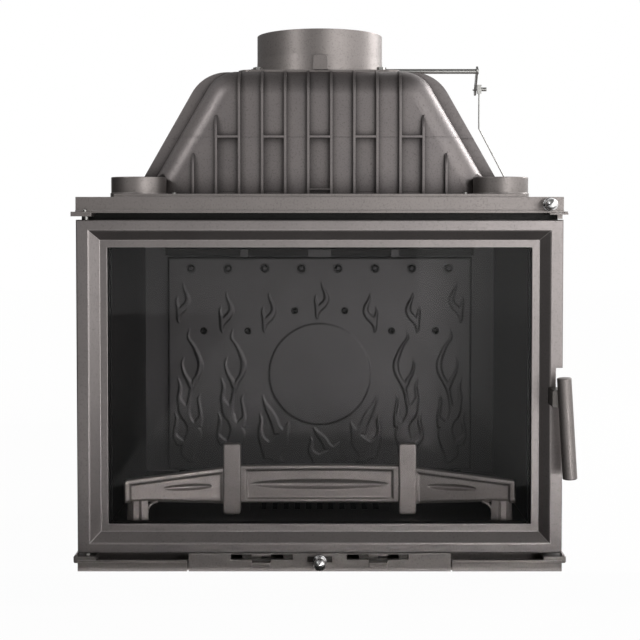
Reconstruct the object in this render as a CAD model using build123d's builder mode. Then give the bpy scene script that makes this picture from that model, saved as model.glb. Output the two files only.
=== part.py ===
from build123d import *
import math
import os

# Cast-iron fireplace insert, millimetres.
# X runs to the right, Y to the back and Z up. The origin is the middle of the base's
# footprint, at floor level, straight below the flue. The door's front face is at FRONT.

# ---- driving dimensions -------------------------------------------------------------
HALF_WIDTH = 351.0          # door, base and top plate
FRONT = -210.0              # front plane of the door
BACK = 205.0                # rear edge of the base and the top plate

BASE_PLATE = 5.0            # floor plate of the base
BASE_RIM = 16.4             # top of the base's rim
BAR_LIP = 3.4               # height of the lip along the top of each front bar
BAR_LIP_PROUD = 1.5
PLENUM_TOP = 54.0           # air box below the hearth
PLENUM_HALF = 338.0
PLENUM_FRONT = -168.0
PLENUM_BACK = 196.0
PANEL_HALF = 189.9          # air panel between the two front bars
PANEL_TOP = 26.0
PANEL_THICK = 6.0
AIR_TRAVEL = 14.0           # air slider, each way
AIR_KNOB_Z = 17.6

DOOR_BOTTOM = 26.3
DOOR_TOP = 509.7
DOOR_THICK = 22.0
DOOR_BORDER = 18.0
BEVEL_WIDTH = 14.0
BEVEL_DEPTH = 13.0
GLASS_OPEN_HALF = 308.3
GLASS_OPEN_LOW = 65.7
GLASS_OPEN_HIGH = 469.6
GLASS_THICK = 4.0
LIP_THICK = 3.0
HINGE_X = -338.0
HINGE_Y = -200.0
HINGE_PIN_R = 4.0

FRAME_FRONT = -181.0
FRAME_BACK = -168.0
FRAME_HALF = 348.0
FRAME_OPEN_HALF = 309.0
FRAME_OPEN_LOW = 57.5
FRAME_OPEN_HIGH = 478.0

WALL_IN = 314.0             # inner face of the side walls
WALL = 8.0
REAR_IN = 176.0             # inner face of the rear wall
LINER_IN = 307.4
LINER = 6.0

SKIRT_LOW = 519.6           # top plate: lower edge of the skirt
TOP_Z = 542.6               # top plate: upper face
TOP_THICK = 8.0
SKIRT = 6.0

HOOD_TOP = 734.0
HOOD_HALF_BASE = 286.5
HOOD_SLOPE = 0.572          # inward run of the hood's side for each mm of height
HOOD_CORNER_R = 62.0
HOOD_BAND_HALF = 100.0      # half depth of the wide middle band
BULGE_HALF_BASE = 266.5
BULGE_SLOPE = 0.583
BULGE_HALF = 140.0          # half depth over the front and rear bulges
BULGE_ROUND = 36.0
HOOD_WALL = 8.0
RIB_HALF = 1.8
RIB_PROUD = 8.0
RIB_PITCH = 34.33
SEAM_Z = 633.0

FLUE_R = 100.0
FLUE_WALL = 6.0
FLUE_TOP = 800.5
FLUE_FOOT_R = 100.8         # the collar's cast foot tapers up to FLUE_R
FLUE_SHOULDER_Z = 762.0
SHAFT_Z = 747.0
SHAFT_R = 4.0
DISC_R = 89.0
CRANK_X = 253.0
CRANK_DROP = 27.6           # from the shaft down to the wire's hook
ROD_TRAVEL = 42.0
ROD_X = 328.5
ROD_Z = 531.6
ROD_R = 3.0
ROD_ROOM = 4.2              # half of the notch that the rod runs through
WIRE_R = 1.2
KNOB_R = 9.0

SPIGOT_X = 268.0
SPIGOT_Y = -155.0
SPIGOT_R = 40.5
SPIGOT_TOP = 572.2

FLOOR_Z = 62.0
GRATE_HALF = 108.0
GRATE_FRONT = -106.0
GRATE_BACK = 38.0

LATCH_X = 335.0
LATCH_Z = 256.0
LATCH_R = 4.5
PIN_GAP = 0.05              # radial clearance of turning pins

os.makedirs("parts", exist_ok=True)
finished = []


def finish(builder, label):
    """Label a finished piece, write it and remember it."""
    builder.part.label = label
    export_step(builder.part, f"parts/{label}.step")
    finished.append(builder.part)


def block(x_span, y_span, z_span, mode=Mode.ADD):
    """Add or cut a box given by its low and high edges on each axis."""
    middle = [(span[0] + span[1]) / 2 for span in (x_span, y_span, z_span)]
    size = [span[1] - span[0] for span in (x_span, y_span, z_span)]
    with Locations(tuple(middle)):
        Box(*size, mode=mode)


def rod_z(x, y, radius, low, high, mode=Mode.ADD):
    """Add or cut an upright cylinder."""
    with Locations((x, y, (low + high) / 2)):
        Cylinder(radius, high - low, mode=mode)


def rod_y(x, z, radius, front, back, mode=Mode.ADD):
    """Add or cut a cylinder that lies along Y."""
    with Locations(Location((x, (front + back) / 2, z), (90, 0, 0))):
        Cylinder(radius, back - front, mode=mode)


def rod_x(y, z, radius, left, right, mode=Mode.ADD):
    """Add or cut a cylinder that lies along X."""
    with Locations(Location(((left + right) / 2, y, z), (0, 90, 0))):
        Cylinder(radius, right - left, mode=mode)


def ring_frame(outer, inner, y_span):
    """Extrude a rectangular ring; outer and inner are (half width, low z, high z)."""
    with BuildSketch(Plane.XZ.offset(-y_span[1])) as ring:
        with Locations((0, (outer[1] + outer[2]) / 2)):
            Rectangle(2 * outer[0], outer[2] - outer[1])
        with Locations((0, (inner[1] + inner[2]) / 2)):
            Rectangle(2 * inner[0], inner[2] - inner[1], mode=Mode.SUBTRACT)
    extrude(ring.sketch, amount=y_span[1] - y_span[0])


# ---- base ---------------------------------------------------------------------------
PLENUM_WALL = 8.0
PAN_WINDOW_HALF = 150.0
SLIDER_FRONT = FRONT + PANEL_THICK + 0.3
SLIDER_BACK = SLIDER_FRONT + 2.5
KEEPER_FRONT = SLIDER_BACK + 0.3
PLENUM_IN = PLENUM_HALF - PLENUM_WALL

with BuildPart() as base_casting:
    block((-HALF_WIDTH, HALF_WIDTH), (FRONT, BACK), (0, BASE_RIM))
    block((-HALF_WIDTH + SKIRT, HALF_WIDTH - SKIRT), (FRONT + SKIRT, BACK - SKIRT),
          (BASE_PLATE, BASE_RIM), mode=Mode.SUBTRACT)
    # the front bar is left out where the air panel stands
    block((-PANEL_HALF - 2.5, PANEL_HALF + 2.5), (FRONT, FRONT + PANEL_THICK),
          (0, BASE_RIM), mode=Mode.SUBTRACT)
    # lip along the top of each front bar
    for side in (-1, 1):
        edges = sorted((side * (PANEL_HALF + 2.5), side * (HALF_WIDTH - 1)))
        block(edges, (FRONT - BAR_LIP_PROUD, FRONT), (BASE_RIM - BAR_LIP, BASE_RIM))
    # air box walls
    block((-PLENUM_HALF, PLENUM_HALF), (PLENUM_FRONT, PLENUM_BACK), (BASE_PLATE, PLENUM_TOP))
    block((-PLENUM_IN, PLENUM_IN), (PLENUM_FRONT + PLENUM_WALL, PLENUM_BACK - PLENUM_WALL),
          (BASE_PLATE, PLENUM_TOP), mode=Mode.SUBTRACT)
    # air way from the front into the air box
    block((-PAN_WINDOW_HALF, PAN_WINDOW_HALF), (PLENUM_FRONT, PLENUM_FRONT + PLENUM_WALL),
          (BASE_PLATE + 3, 22.0), mode=Mode.SUBTRACT)
    # low ridge that keeps the air slider against its panel
    block((-165, 165), (KEEPER_FRONT, KEEPER_FRONT + 4), (BASE_PLATE, BASE_PLATE + 2.5))
finish(base_casting, "base_casting")

# air openings of the panel on the right side; the left side mirrors them
AIR_WINDOWS = (
    ((39.0, 71.0), (16.8, 24.8)),
    ((98.6, 129.0), (16.8, 24.8)),
    ((71.0, 98.6), (13.5, 21.9)),
)
LEDGE = ((71.5, 98.1), (5.8, 13.5))
KNOB_SLOT_HALF = 18.0
KNOB_SLOT_Z = (13.2, 22.0)

with BuildPart() as air_panel:
    block((-PANEL_HALF, PANEL_HALF), (FRONT, FRONT + PANEL_THICK), (0, PANEL_TOP))
    for side in (-1, 1):
        for x_span, z_span in AIR_WINDOWS:
            edges = sorted((side * x_span[0], side * x_span[1]))
            block(edges, (FRONT - 1, FRONT + PANEL_THICK), z_span, mode=Mode.SUBTRACT)
        edges = sorted((side * LEDGE[0][0], side * LEDGE[0][1]))
        block(edges, (FRONT - 4, FRONT), LEDGE[1])
    block((-KNOB_SLOT_HALF, KNOB_SLOT_HALF), (FRONT, FRONT + PANEL_THICK), KNOB_SLOT_Z,
          mode=Mode.SUBTRACT)
finish(air_panel, "air_panel")

with BuildPart() as sill_plate:
    block((-PANEL_HALF, PANEL_HALF), (KEEPER_FRONT, PLENUM_FRONT), (22.8, 25.8))
finish(sill_plate, "sill_plate")

with BuildPart() as air_slider:
    block((-150, 150), (SLIDER_FRONT, SLIDER_BACK), (BASE_PLATE + 0.3, 25.4))
    for side in (-1, 1):
        for x_span, z_span in AIR_WINDOWS[:2]:
            edges = sorted((side * x_span[0], side * x_span[1]))
            shifted = [edge - AIR_TRAVEL for edge in edges]
            block(shifted, (SLIDER_FRONT, SLIDER_BACK), (16.8, 23.6), mode=Mode.SUBTRACT)
finish(air_slider, "air_slider")

KNOB_Y = FRONT - 25.0
KNOB_COLLAR_Y = KNOB_Y + 12.0

with BuildPart() as air_knob:
    rod_y(0, AIR_KNOB_Z, 2.5, KNOB_Y, SLIDER_FRONT)
    rod_y(0, AIR_KNOB_Z, 10.0, KNOB_COLLAR_Y - 1, KNOB_COLLAR_Y + 1)
    with Locations((0, KNOB_Y, AIR_KNOB_Z)):
        Sphere(KNOB_R)
finish(air_knob, "air_knob")

# ---- hinge brackets and pins --------------------------------------------------------
BRACKET_OUT = 356.5
BRACKET_IN = 324.7
LOW_BRACKET = (BASE_RIM, 21.7)
LOW_BRACKET_FRONT = FRONT - BAR_LIP_PROUD
LOW_TIP_BACK = FRONT + 16.0
HIGH_BRACKET = (514.6, 519.3)
HIGH_BRACKET_FRONT = FRONT - 8.0
HIGH_BRACKET_LIP = (HIGH_BRACKET_FRONT, HIGH_BRACKET_FRONT + 5.2)
HIGH_BRACKET_IN = 327.0
RIVET_X = -336.5
RIVET_Z = HIGH_BRACKET[1] + 2
STOP_Z = (511.0, 517.0)     # stop above the door's right corner

for name, side in (("bracket_bottom_left", -1), ("bracket_bottom_right", 1)):
    with BuildPart() as bracket_bottom:
        edges = sorted((side * BRACKET_IN, side * BRACKET_OUT))
        block(edges, (LOW_BRACKET_FRONT, PLENUM_FRONT), LOW_BRACKET)
        # tip outside the base's corner, sloped towards the door
        with BuildSketch(Plane.XZ.offset(-LOW_TIP_BACK)) as tip:
            with BuildLine():
                Polyline((side * HALF_WIDTH, 12.6), (side * (BRACKET_OUT - 1.5), 12.6),
                         (side * BRACKET_OUT, 14.5), (side * BRACKET_OUT, LOW_BRACKET[1]),
                         (side * (HALF_WIDTH + 1.2), 25.8), (side * HALF_WIDTH, 25.8),
                         close=True)
            make_face()
        extrude(tip.sketch, amount=LOW_TIP_BACK - LOW_BRACKET_FRONT)
        if side < 0:
            rod_z(HINGE_X, HINGE_Y, HINGE_PIN_R, *LOW_BRACKET, mode=Mode.SUBTRACT)
    finish(bracket_bottom, name)

with BuildPart() as bracket_top_left:
    block((-BRACKET_OUT, -HIGH_BRACKET_IN), (HIGH_BRACKET_FRONT, FRAME_FRONT), HIGH_BRACKET)
    block((-BRACKET_OUT, -HIGH_BRACKET_IN), HIGH_BRACKET_LIP, (HIGH_BRACKET[1], RIVET_Z))
    rod_z(HINGE_X, HINGE_Y, HINGE_PIN_R, *HIGH_BRACKET, mode=Mode.SUBTRACT)
finish(bracket_top_left, "bracket_top_left")

with BuildPart() as bracket_top_right:
    block((330.0, BRACKET_OUT), (FRONT - 5, FRAME_FRONT), (STOP_Z[1], HIGH_BRACKET[1]))
    # upturned tip outside the top plate, and the stop above the door's corner
    block((HALF_WIDTH + 0.4, BRACKET_OUT), (FRONT - 2, FRONT + 14), (STOP_Z[1], 521.6))
    block((342.5, 350.0), (FRONT + 4, FRONT + 16), STOP_Z)
finish(bracket_top_right, "bracket_top_right")

with BuildPart() as bracket_rivet:
    rod_z(RIVET_X, sum(HIGH_BRACKET_LIP) / 2, 2.4, RIVET_Z, RIVET_Z + 4)
    fillet(bracket_rivet.faces().sort_by(Axis.Z)[-1].edges(), 2.0)
finish(bracket_rivet, "bracket_rivet")

with BuildPart() as hinge_pins:
    rod_z(HINGE_X, HINGE_Y, HINGE_PIN_R, LOW_BRACKET[0], DOOR_BOTTOM + 16)
    rod_z(HINGE_X, HINGE_Y, HINGE_PIN_R + 0.5, LOW_BRACKET[1], DOOR_BOTTOM - 0.4)
    rod_z(HINGE_X, HINGE_Y, HINGE_PIN_R, DOOR_TOP - 16, HIGH_BRACKET[1])
finish(hinge_pins, "hinge_pins")

# ---- fire box walls -----------------------------------------------------------------
WALL_TOP = TOP_Z - TOP_THICK
WALL_OUT = WALL_IN + WALL
REAR_OUT = REAR_IN + WALL
FIN_REACH = 8.0
FIN_HALF = 2.0
SIDE_FINS = 10
SIDE_FIN_PITCH = 33.0
SIDE_FIN_FIRST = -140.0
REAR_FINS = 17

for name, side in (("side_wall_left", -1), ("side_wall_right", 1)):
    with BuildPart() as side_wall:
        edges = sorted((side * WALL_IN, side * WALL_OUT))
        block(edges, (FRAME_BACK, REAR_IN), (PLENUM_TOP, WALL_TOP))
    finish(side_wall, name)

with BuildPart() as rear_wall:
    block((-WALL_OUT, WALL_OUT), (REAR_IN, REAR_OUT), (PLENUM_TOP, WALL_TOP))
finish(rear_wall, "rear_wall")

# cooling fins outside the side walls and the rear wall
with BuildPart() as wall_fins:
    for side in (-1, 1):
        fin_x = sorted((side * WALL_OUT, side * (WALL_OUT + FIN_REACH)))
        for i in range(SIDE_FINS):
            fin_y = SIDE_FIN_FIRST + i * SIDE_FIN_PITCH
            block(fin_x, (fin_y - FIN_HALF, fin_y + FIN_HALF), (PLENUM_TOP, 505.0))
    for i in range(REAR_FINS):
        rear_x = (i - (REAR_FINS - 1) / 2) * RIB_PITCH
        block((rear_x - FIN_HALF, rear_x + FIN_HALF), (REAR_OUT, REAR_OUT + FIN_REACH),
              (PLENUM_TOP, 515.0))
finish(wall_fins, "wall_fins")

for name, side in (("side_liner_left", -1), ("side_liner_right", 1)):
    with BuildPart() as side_liner:
        edges = sorted((side * LINER_IN, side * (LINER_IN + LINER)))
        block(edges, (FRAME_BACK + 1, REAR_IN), (FLOOR_Z, 470.0))
    finish(side_liner, name)

NOTCH_LOW = 238.0
NOTCH_HIGH = 292.0

with BuildPart() as front_frame:
    ring_frame((FRAME_HALF, 27.0, SKIRT_LOW), (FRAME_OPEN_HALF, FRAME_OPEN_LOW, FRAME_OPEN_HIGH),
               (FRAME_FRONT, FRAME_BACK))
    # the part that reaches up between the top plate's skirts
    block((-HALF_WIDTH + SKIRT, HALF_WIDTH - SKIRT), (FRAME_FRONT, FRAME_BACK),
          (SKIRT_LOW, WALL_TOP))
    # openings for the latch and the damper's rod
    block((LATCH_X - 9.0, FRAME_HALF), (FRAME_FRONT, FRAME_BACK), (NOTCH_LOW, NOTCH_HIGH),
          mode=Mode.SUBTRACT)
    block((ROD_X - ROD_ROOM, ROD_X + ROD_ROOM), (FRAME_FRONT, FRAME_BACK),
          (ROD_Z - ROD_ROOM, WALL_TOP), mode=Mode.SUBTRACT)
finish(front_frame, "front_frame")

with BuildPart() as latch_keeper:
    block((LATCH_X - 12.0, LATCH_X + 3.0), (FRAME_BACK, FRAME_BACK + 1.6), (212.0, NOTCH_LOW - 2))
finish(latch_keeper, "latch_keeper")

TIE_ROD_X = 334.0
TIE_ROD_Y = (42.0, 166.0)
TIE_ROD_R = 3.9
TIE_NUT_R = 7.0

# tie rods between the base and the top plate
with BuildPart() as tie_rods:
    for x in (-TIE_ROD_X, TIE_ROD_X):
        for y in TIE_ROD_Y:
            rod_z(x, y, TIE_ROD_R, PLENUM_TOP, WALL_TOP)
            with BuildSketch(Plane.XY.offset(PLENUM_TOP)):
                with Locations((x, y)):
                    RegularPolygon(TIE_NUT_R, 6)
            extrude(amount=TIE_NUT_R)
finish(tie_rods, "tie_rods")

# ---- top plate ----------------------------------------------------------------------
GAS_HALF_X = 240.0
GAS_HALF_Y = 92.0
WIRE_SLOT_X = (315.0, 335.0)
WIRE_REST_Y = 21.0
SPIGOT_BORE = 36.0
BEAD_HALF = 297.0           # bead along the top plate, in front of the hood

with BuildPart() as top_plate:
    block((-HALF_WIDTH, HALF_WIDTH), (FRONT, BACK), (SKIRT_LOW, TOP_Z))
    block((-HALF_WIDTH + SKIRT, HALF_WIDTH - SKIRT), (FRONT + SKIRT, BACK - SKIRT),
          (SKIRT_LOW, WALL_TOP), mode=Mode.SUBTRACT)
    # lip along the foot of the skirt, and the bead in front of the hood
    block((-HALF_WIDTH, HALF_WIDTH), (FRONT - 2.5, FRONT), (SKIRT_LOW, SKIRT_LOW + 3.8))
    block((-BEAD_HALF, BEAD_HALF), (FRONT + 6, FRONT + 11), (TOP_Z, TOP_Z + 4.5))
    # gas way into the hood
    block((-GAS_HALF_X, GAS_HALF_X), (-GAS_HALF_Y, GAS_HALF_Y), (WALL_TOP, TOP_Z),
          mode=Mode.SUBTRACT)
    for side in (-1, 1):
        rod_z(side * SPIGOT_X, SPIGOT_Y, SPIGOT_BORE, WALL_TOP, TOP_Z, mode=Mode.SUBTRACT)
    # slot in which the damper wire travels, and the hole of its rod
    block(WIRE_SLOT_X, (WIRE_REST_Y - ROD_TRAVEL - 6, WIRE_REST_Y + 6), (WALL_TOP, TOP_Z),
          mode=Mode.SUBTRACT)
    rod_y(ROD_X, ROD_Z, ROD_R + PIN_GAP, FRONT - 3, FRONT + SKIRT, mode=Mode.SUBTRACT)
finish(top_plate, "top_plate")

GUIDE_Y = (-64.0, -56.0)

with BuildPart() as rod_guide:
    block((ROD_X - 5, ROD_X + 8), GUIDE_Y, (ROD_Z - 5.6, WALL_TOP))
    rod_y(ROD_X, ROD_Z, ROD_R + PIN_GAP, *GUIDE_Y, mode=Mode.SUBTRACT)
finish(rod_guide, "rod_guide")

# shelf that turns the spigots' air forward and down behind the glass
DUCT_LOW = 480.0
DUCT_HALF = 313.0
DUCT_FRONT = FRAME_BACK + 5.0
DUCT_BACK = -108.0
DUCT_WALL = 4.0

with BuildPart() as air_wash_duct:
    block((-DUCT_HALF, DUCT_HALF), (DUCT_FRONT, DUCT_BACK), (DUCT_LOW, DUCT_LOW + DUCT_WALL))
    block((-DUCT_HALF, DUCT_HALF), (DUCT_BACK - DUCT_WALL, DUCT_BACK), (DUCT_LOW, WALL_TOP))
finish(air_wash_duct, "air_wash_duct")

SPIGOT_FOOT_TOP = TOP_Z + 6.0

for name, side in (("spigot_left", -1), ("spigot_right", 1)):
    with BuildPart() as spigot:
        rod_z(side * SPIGOT_X, SPIGOT_Y, SPIGOT_R, TOP_Z, SPIGOT_TOP)
        rod_z(side * SPIGOT_X, SPIGOT_Y, SPIGOT_R + 1.2, TOP_Z, SPIGOT_FOOT_TOP)
        fillet(spigot.faces().sort_by(Axis.Z)[-1].edges(), 1.0)
        rod_z(side * SPIGOT_X, SPIGOT_Y, SPIGOT_BORE, TOP_Z, SPIGOT_TOP, mode=Mode.SUBTRACT)
    finish(spigot, name)

# ---- hood ---------------------------------------------------------------------------


def dome(half_base, slope, top, half_depth, corner_r):
    """Extrude the hood's outline: slanted sides, a flat top and round top corners."""
    half_top = half_base - slope * (top - TOP_Z)
    with BuildSketch(Plane.XZ.offset(-half_depth)) as outline:
        with BuildLine():
            Polyline((-half_base, TOP_Z), (half_base, TOP_Z), (half_top, top),
                     (-half_top, top), close=True)
        make_face()
        fillet(outline.vertices().group_by(Axis.Y)[-1], corner_r)
    extrude(outline.sketch, amount=2 * half_depth)


def round_rims(part, radius):
    """Round the front and rear rims of an extruded dome, but not along its foot."""
    by_depth = part.faces().sort_by(Axis.Y)
    rims = [edge for face in (by_depth[0], by_depth[-1]) for edge in face.edges()
            if edge.center().Z > TOP_Z + 1]
    fillet(rims, radius)


def part_rib(x, tip_z, front_y, root_y):
    """Add one upright rib at x whose tip bends back to the surface below tip_z."""
    bend = 26.0
    with BuildSketch(Plane.YZ.offset(x - RIB_HALF)) as profile:
        with BuildLine():
            Polyline((root_y, tip_z - 4), (root_y, TOP_Z), (front_y, TOP_Z),
                     (front_y, tip_z - bend))
            ThreePointArc((front_y, tip_z - bend), (front_y + 2.2, tip_z - bend / 2.4),
                          (root_y - 2.5, tip_z))
            Line((root_y - 2.5, tip_z), (root_y, tip_z - 4))
        make_face()
    extrude(profile.sketch, amount=2 * RIB_HALF)


def wrap_rib(x):
    """Add one full rib at x that runs up the bulge and fades out on its round top edge."""
    tip = -BULGE_HALF - RIB_PROUD
    root = -BULGE_HALF + HOOD_WALL / 2
    turn_y = -BULGE_HALF + BULGE_ROUND
    turn_z = HOOD_TOP - BULGE_ROUND
    outer_r = BULGE_ROUND + RIB_PROUD
    inner_r = BULGE_ROUND - HOOD_WALL / 2
    s = math.sin(math.radians(45))
    with BuildSketch(Plane.YZ.offset(x - RIB_HALF)) as profile:
        with BuildLine():
            Polyline((root, turn_z), (root, TOP_Z), (tip, TOP_Z), (tip, turn_z))
            ThreePointArc((tip, turn_z), (turn_y - outer_r * s, turn_z + outer_r * s * 0.9),
                          (turn_y, HOOD_TOP))
            Line((turn_y, HOOD_TOP), (turn_y, turn_z + inner_r))
            ThreePointArc((turn_y, turn_z + inner_r), (turn_y - inner_r * s, turn_z + inner_r * s),
                          (root, turn_z))
        make_face()
    extrude(profile.sketch, amount=2 * RIB_HALF)


FULL_RIBS = [RIB_PITCH * (i - 3.5) for i in range(8)]
# part ribs: (distance from the middle, height of the tip)
PART_RIBS = ((RIB_PITCH * 4.5, 668.0), (RIB_PITCH * 5.5, 611.0))
# cells with a pocket below the seam: distance from the middle in rib pitches
POCKET_CELLS = (-4, -2, 0, 2, 4)
POCKET_DEPTH = 3.0
POCKET_LOW = 551.0

FLANK_WALL = HOOD_WALL * 1.15   # the slanted flanks' wall, measured level
# room for the ducts that slip over the spigots, beside the bulge's corners
DUCT_ROOM_R = SPIGOT_R + 2
DUCT_ROOM_TOP = 650.0
LEDGE_HALF = RIB_PITCH / 2 - RIB_HALF - 0.1
LEDGE_Z = (SEAM_Z - 1.5, SEAM_Z + 2)
BULGE_CORNER_R = HOOD_CORNER_R - 10
FOOT_LEDGE_Z = (554.0, 556.0)

with BuildPart() as bulge:
    dome(BULGE_HALF_BASE, BULGE_SLOPE, HOOD_TOP, BULGE_HALF, BULGE_CORNER_R)
    round_rims(bulge, BULGE_ROUND)

with BuildPart() as hollow_bulge:
    dome(BULGE_HALF_BASE - FLANK_WALL, BULGE_SLOPE, HOOD_TOP - HOOD_WALL,
         BULGE_HALF - HOOD_WALL, BULGE_CORNER_R - HOOD_WALL)
    round_rims(hollow_bulge, BULGE_ROUND - HOOD_WALL)
    # the wall stays whole behind the room for the ducts
    for side in (-1, 1):
        rod_z(side * SPIGOT_X, SPIGOT_Y, DUCT_ROOM_R + HOOD_WALL, TOP_Z, DUCT_ROOM_TOP,
              mode=Mode.SUBTRACT)

with BuildPart() as hollow_band:
    dome(HOOD_HALF_BASE - FLANK_WALL, HOOD_SLOPE, HOOD_TOP - HOOD_WALL,
         HOOD_BAND_HALF - HOOD_WALL, HOOD_CORNER_R - HOOD_WALL)

with BuildPart() as hood_shell:
    dome(HOOD_HALF_BASE, HOOD_SLOPE, HOOD_TOP, HOOD_BAND_HALF, HOOD_CORNER_R)
    add(bulge.part)
    add(hollow_band.part, mode=Mode.SUBTRACT)
    add(hollow_bulge.part, mode=Mode.SUBTRACT)
    for cell in POCKET_CELLS:
        middle = cell * RIB_PITCH
        block((middle - RIB_PITCH / 2 + RIB_HALF, middle + RIB_PITCH / 2 - RIB_HALF),
              (-BULGE_HALF, -BULGE_HALF + POCKET_DEPTH), (POCKET_LOW, LEDGE_Z[0]),
              mode=Mode.SUBTRACT)
    rod_z(0, 0, FLUE_R - FLUE_WALL, HOOD_TOP - 20, HOOD_TOP + 20, mode=Mode.SUBTRACT)
    for side in (-1, 1):
        rod_z(side * SPIGOT_X, SPIGOT_Y, DUCT_ROOM_R, TOP_Z, DUCT_ROOM_TOP, mode=Mode.SUBTRACT)

with BuildPart() as hood_lower:
    add(hood_shell.part)
    split(bisect_by=Plane.XY.offset(SEAM_Z), keep=Keep.BOTTOM)
finish(hood_lower, "hood_lower")

with BuildPart() as hood_upper:
    add(hood_shell.part)
    split(bisect_by=Plane.XY.offset(SEAM_Z), keep=Keep.TOP)
finish(hood_upper, "hood_upper")

# ribs on the front and rear bulges, and the ledges above the front pockets
with BuildPart() as front_ribs:
    for x in FULL_RIBS:
        wrap_rib(x)
    for side in (-1, 1):
        for distance, tip_z in PART_RIBS:
            part_rib(side * distance, tip_z, -BULGE_HALF - RIB_PROUD, -BULGE_HALF + 5.0)
    add(bulge.part, mode=Mode.SUBTRACT)

with BuildPart() as hood_ribs:
    add(front_ribs.part)
    mirror(front_ribs.part, about=Plane.XZ)
    for cell in POCKET_CELLS:
        block((cell * RIB_PITCH - LEDGE_HALF, cell * RIB_PITCH + LEDGE_HALF),
              (-BULGE_HALF - RIB_PROUD, -BULGE_HALF), LEDGE_Z)
    # short ledge near the foot of the middle pocket
    block((-LEDGE_HALF, LEDGE_HALF), (-BULGE_HALF - RIB_PROUD, -BULGE_HALF + POCKET_DEPTH),
          FOOT_LEDGE_Z)
finish(hood_ribs, "hood_ribs")

STUD_X = 214.0
STUD_Y = 172.0

with BuildPart() as hood_studs:
    for x in (-STUD_X, STUD_X):
        for y in (-STUD_Y, STUD_Y):
            rod_z(x, y, 3.0, TOP_Z, TOP_Z + 7)
            rod_z(x, y, 5.0, TOP_Z, TOP_Z + 3)
finish(hood_studs, "hood_studs")

# ---- flue collar and damper ---------------------------------------------------------
FLANGE = 3.8
FLANGE_HALF_X = 124.0
FLANGE_HALF_Y = 102.0
COLLAR_LOW = HOOD_TOP + FLANGE
COLLAR_BORE = FLUE_R - FLUE_WALL
LUG_X = (-9.7, 12.7)
LUG_TOP = 760.2
LUG_REACH = 7.0

with BuildPart() as collar_core:
    rod_z(0, 0, FLUE_R, HOOD_TOP, FLUE_TOP)
    with Locations((0, 0, (COLLAR_LOW + FLUE_SHOULDER_Z) / 2)):
        Cone(FLUE_FOOT_R, FLUE_R, FLUE_SHOULDER_Z - COLLAR_LOW)

with BuildPart() as flue_collar:
    with BuildSketch(Plane.XY.offset(HOOD_TOP)):
        RectangleRounded(2 * FLANGE_HALF_X, 2 * FLANGE_HALF_Y, 20)
    extrude(amount=FLANGE)
    add(collar_core.part)
    rod_z(0, 0, COLLAR_BORE, HOOD_TOP, FLUE_TOP, mode=Mode.SUBTRACT)
    rod_x(0, SHAFT_Z, SHAFT_R + PIN_GAP, -FLUE_R - 1, FLUE_R + 1, mode=Mode.SUBTRACT)
finish(flue_collar, "flue_collar")

with BuildPart() as collar_lugs:
    for low_y, high_y in ((-FLUE_R - LUG_REACH, -FLUE_R + 6), (FLUE_R - 6, FLUE_R + LUG_REACH)):
        block(LUG_X, (low_y, high_y), (COLLAR_LOW, LUG_TOP))
    fillet(collar_lugs.edges().filter_by(Axis.Y).group_by(Axis.Z)[-1], 6.0)
    add(collar_core.part, mode=Mode.SUBTRACT)
    rod_z(0, 0, COLLAR_BORE, COLLAR_LOW, LUG_TOP, mode=Mode.SUBTRACT)
finish(collar_lugs, "collar_lugs")

COLLAR_BOLT_X = 94.0
COLLAR_BOLT_Y = 88.0

with BuildPart() as collar_bolts:
    with BuildSketch(Plane.XY.offset(COLLAR_LOW)):
        with GridLocations(2 * COLLAR_BOLT_X, 2 * COLLAR_BOLT_Y, 2, 2):
            RegularPolygon(6.5, 6)
    extrude(amount=5)
finish(collar_bolts, "collar_bolts")

BUSH_R = 6.2

with BuildPart() as shaft_bushes:
    for side in (-1, 1):
        edges = sorted((side * (FLUE_R - 1), side * (FLUE_R + 7)))
        rod_x(0, SHAFT_Z, BUSH_R, *edges)
    add(collar_core.part, mode=Mode.SUBTRACT)
    rod_x(0, SHAFT_Z, SHAFT_R + PIN_GAP, -FLUE_R - 8, FLUE_R + 8, mode=Mode.SUBTRACT)
finish(shaft_bushes, "shaft_bushes")

CRANK_THICK = 2.5

with BuildPart() as damper_shaft:
    rod_x(0, SHAFT_Z, SHAFT_R, -FLUE_R - 10, CRANK_X - CRANK_THICK / 2)
finish(damper_shaft, "damper_shaft")

with BuildPart() as damper_disc:
    rod_z(0, 0, DISC_R, SHAFT_Z + SHAFT_R, SHAFT_Z + SHAFT_R + 3)
finish(damper_disc, "damper_disc")

SADDLE_X = 48.0

with BuildPart() as damper_saddles:
    for x in (-SADDLE_X, SADDLE_X):
        block((x - 8, x + 8), (-11, 11), (SHAFT_Z - SHAFT_R - 1.4, SHAFT_Z + SHAFT_R))
    rod_x(0, SHAFT_Z, SHAFT_R, -DISC_R, DISC_R, mode=Mode.SUBTRACT)
    block((-DISC_R, DISC_R), (-SHAFT_R, SHAFT_R), (SHAFT_Z, SHAFT_Z + SHAFT_R), mode=Mode.SUBTRACT)
finish(damper_saddles, "damper_saddles")

# the crank hangs back at rest, so that pulling the rod swings it forward through the drop
CRANK_TILT = math.atan2(WIRE_REST_Y, CRANK_DROP)
CRANK_SLOT_HALF = 3.2
crank_plane = Plane(origin=(CRANK_X - CRANK_THICK / 2, 0, SHAFT_Z),
                    x_dir=(0, math.sin(CRANK_TILT), -math.cos(CRANK_TILT)), z_dir=(1, 0, 0))

with BuildPart() as damper_crank:
    with BuildSketch(crank_plane):
        with Locations((18, 0)):
            SlotCenterToCenter(40, 13)
        with Locations((31.5, 0)):
            SlotCenterToCenter(8, 2 * CRANK_SLOT_HALF, mode=Mode.SUBTRACT)
    extrude(amount=CRANK_THICK)
    rod_x(0, SHAFT_Z, SHAFT_R + 0.6, CRANK_X, CRANK_X + 2.5)
finish(damper_crank, "damper_crank")

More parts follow.
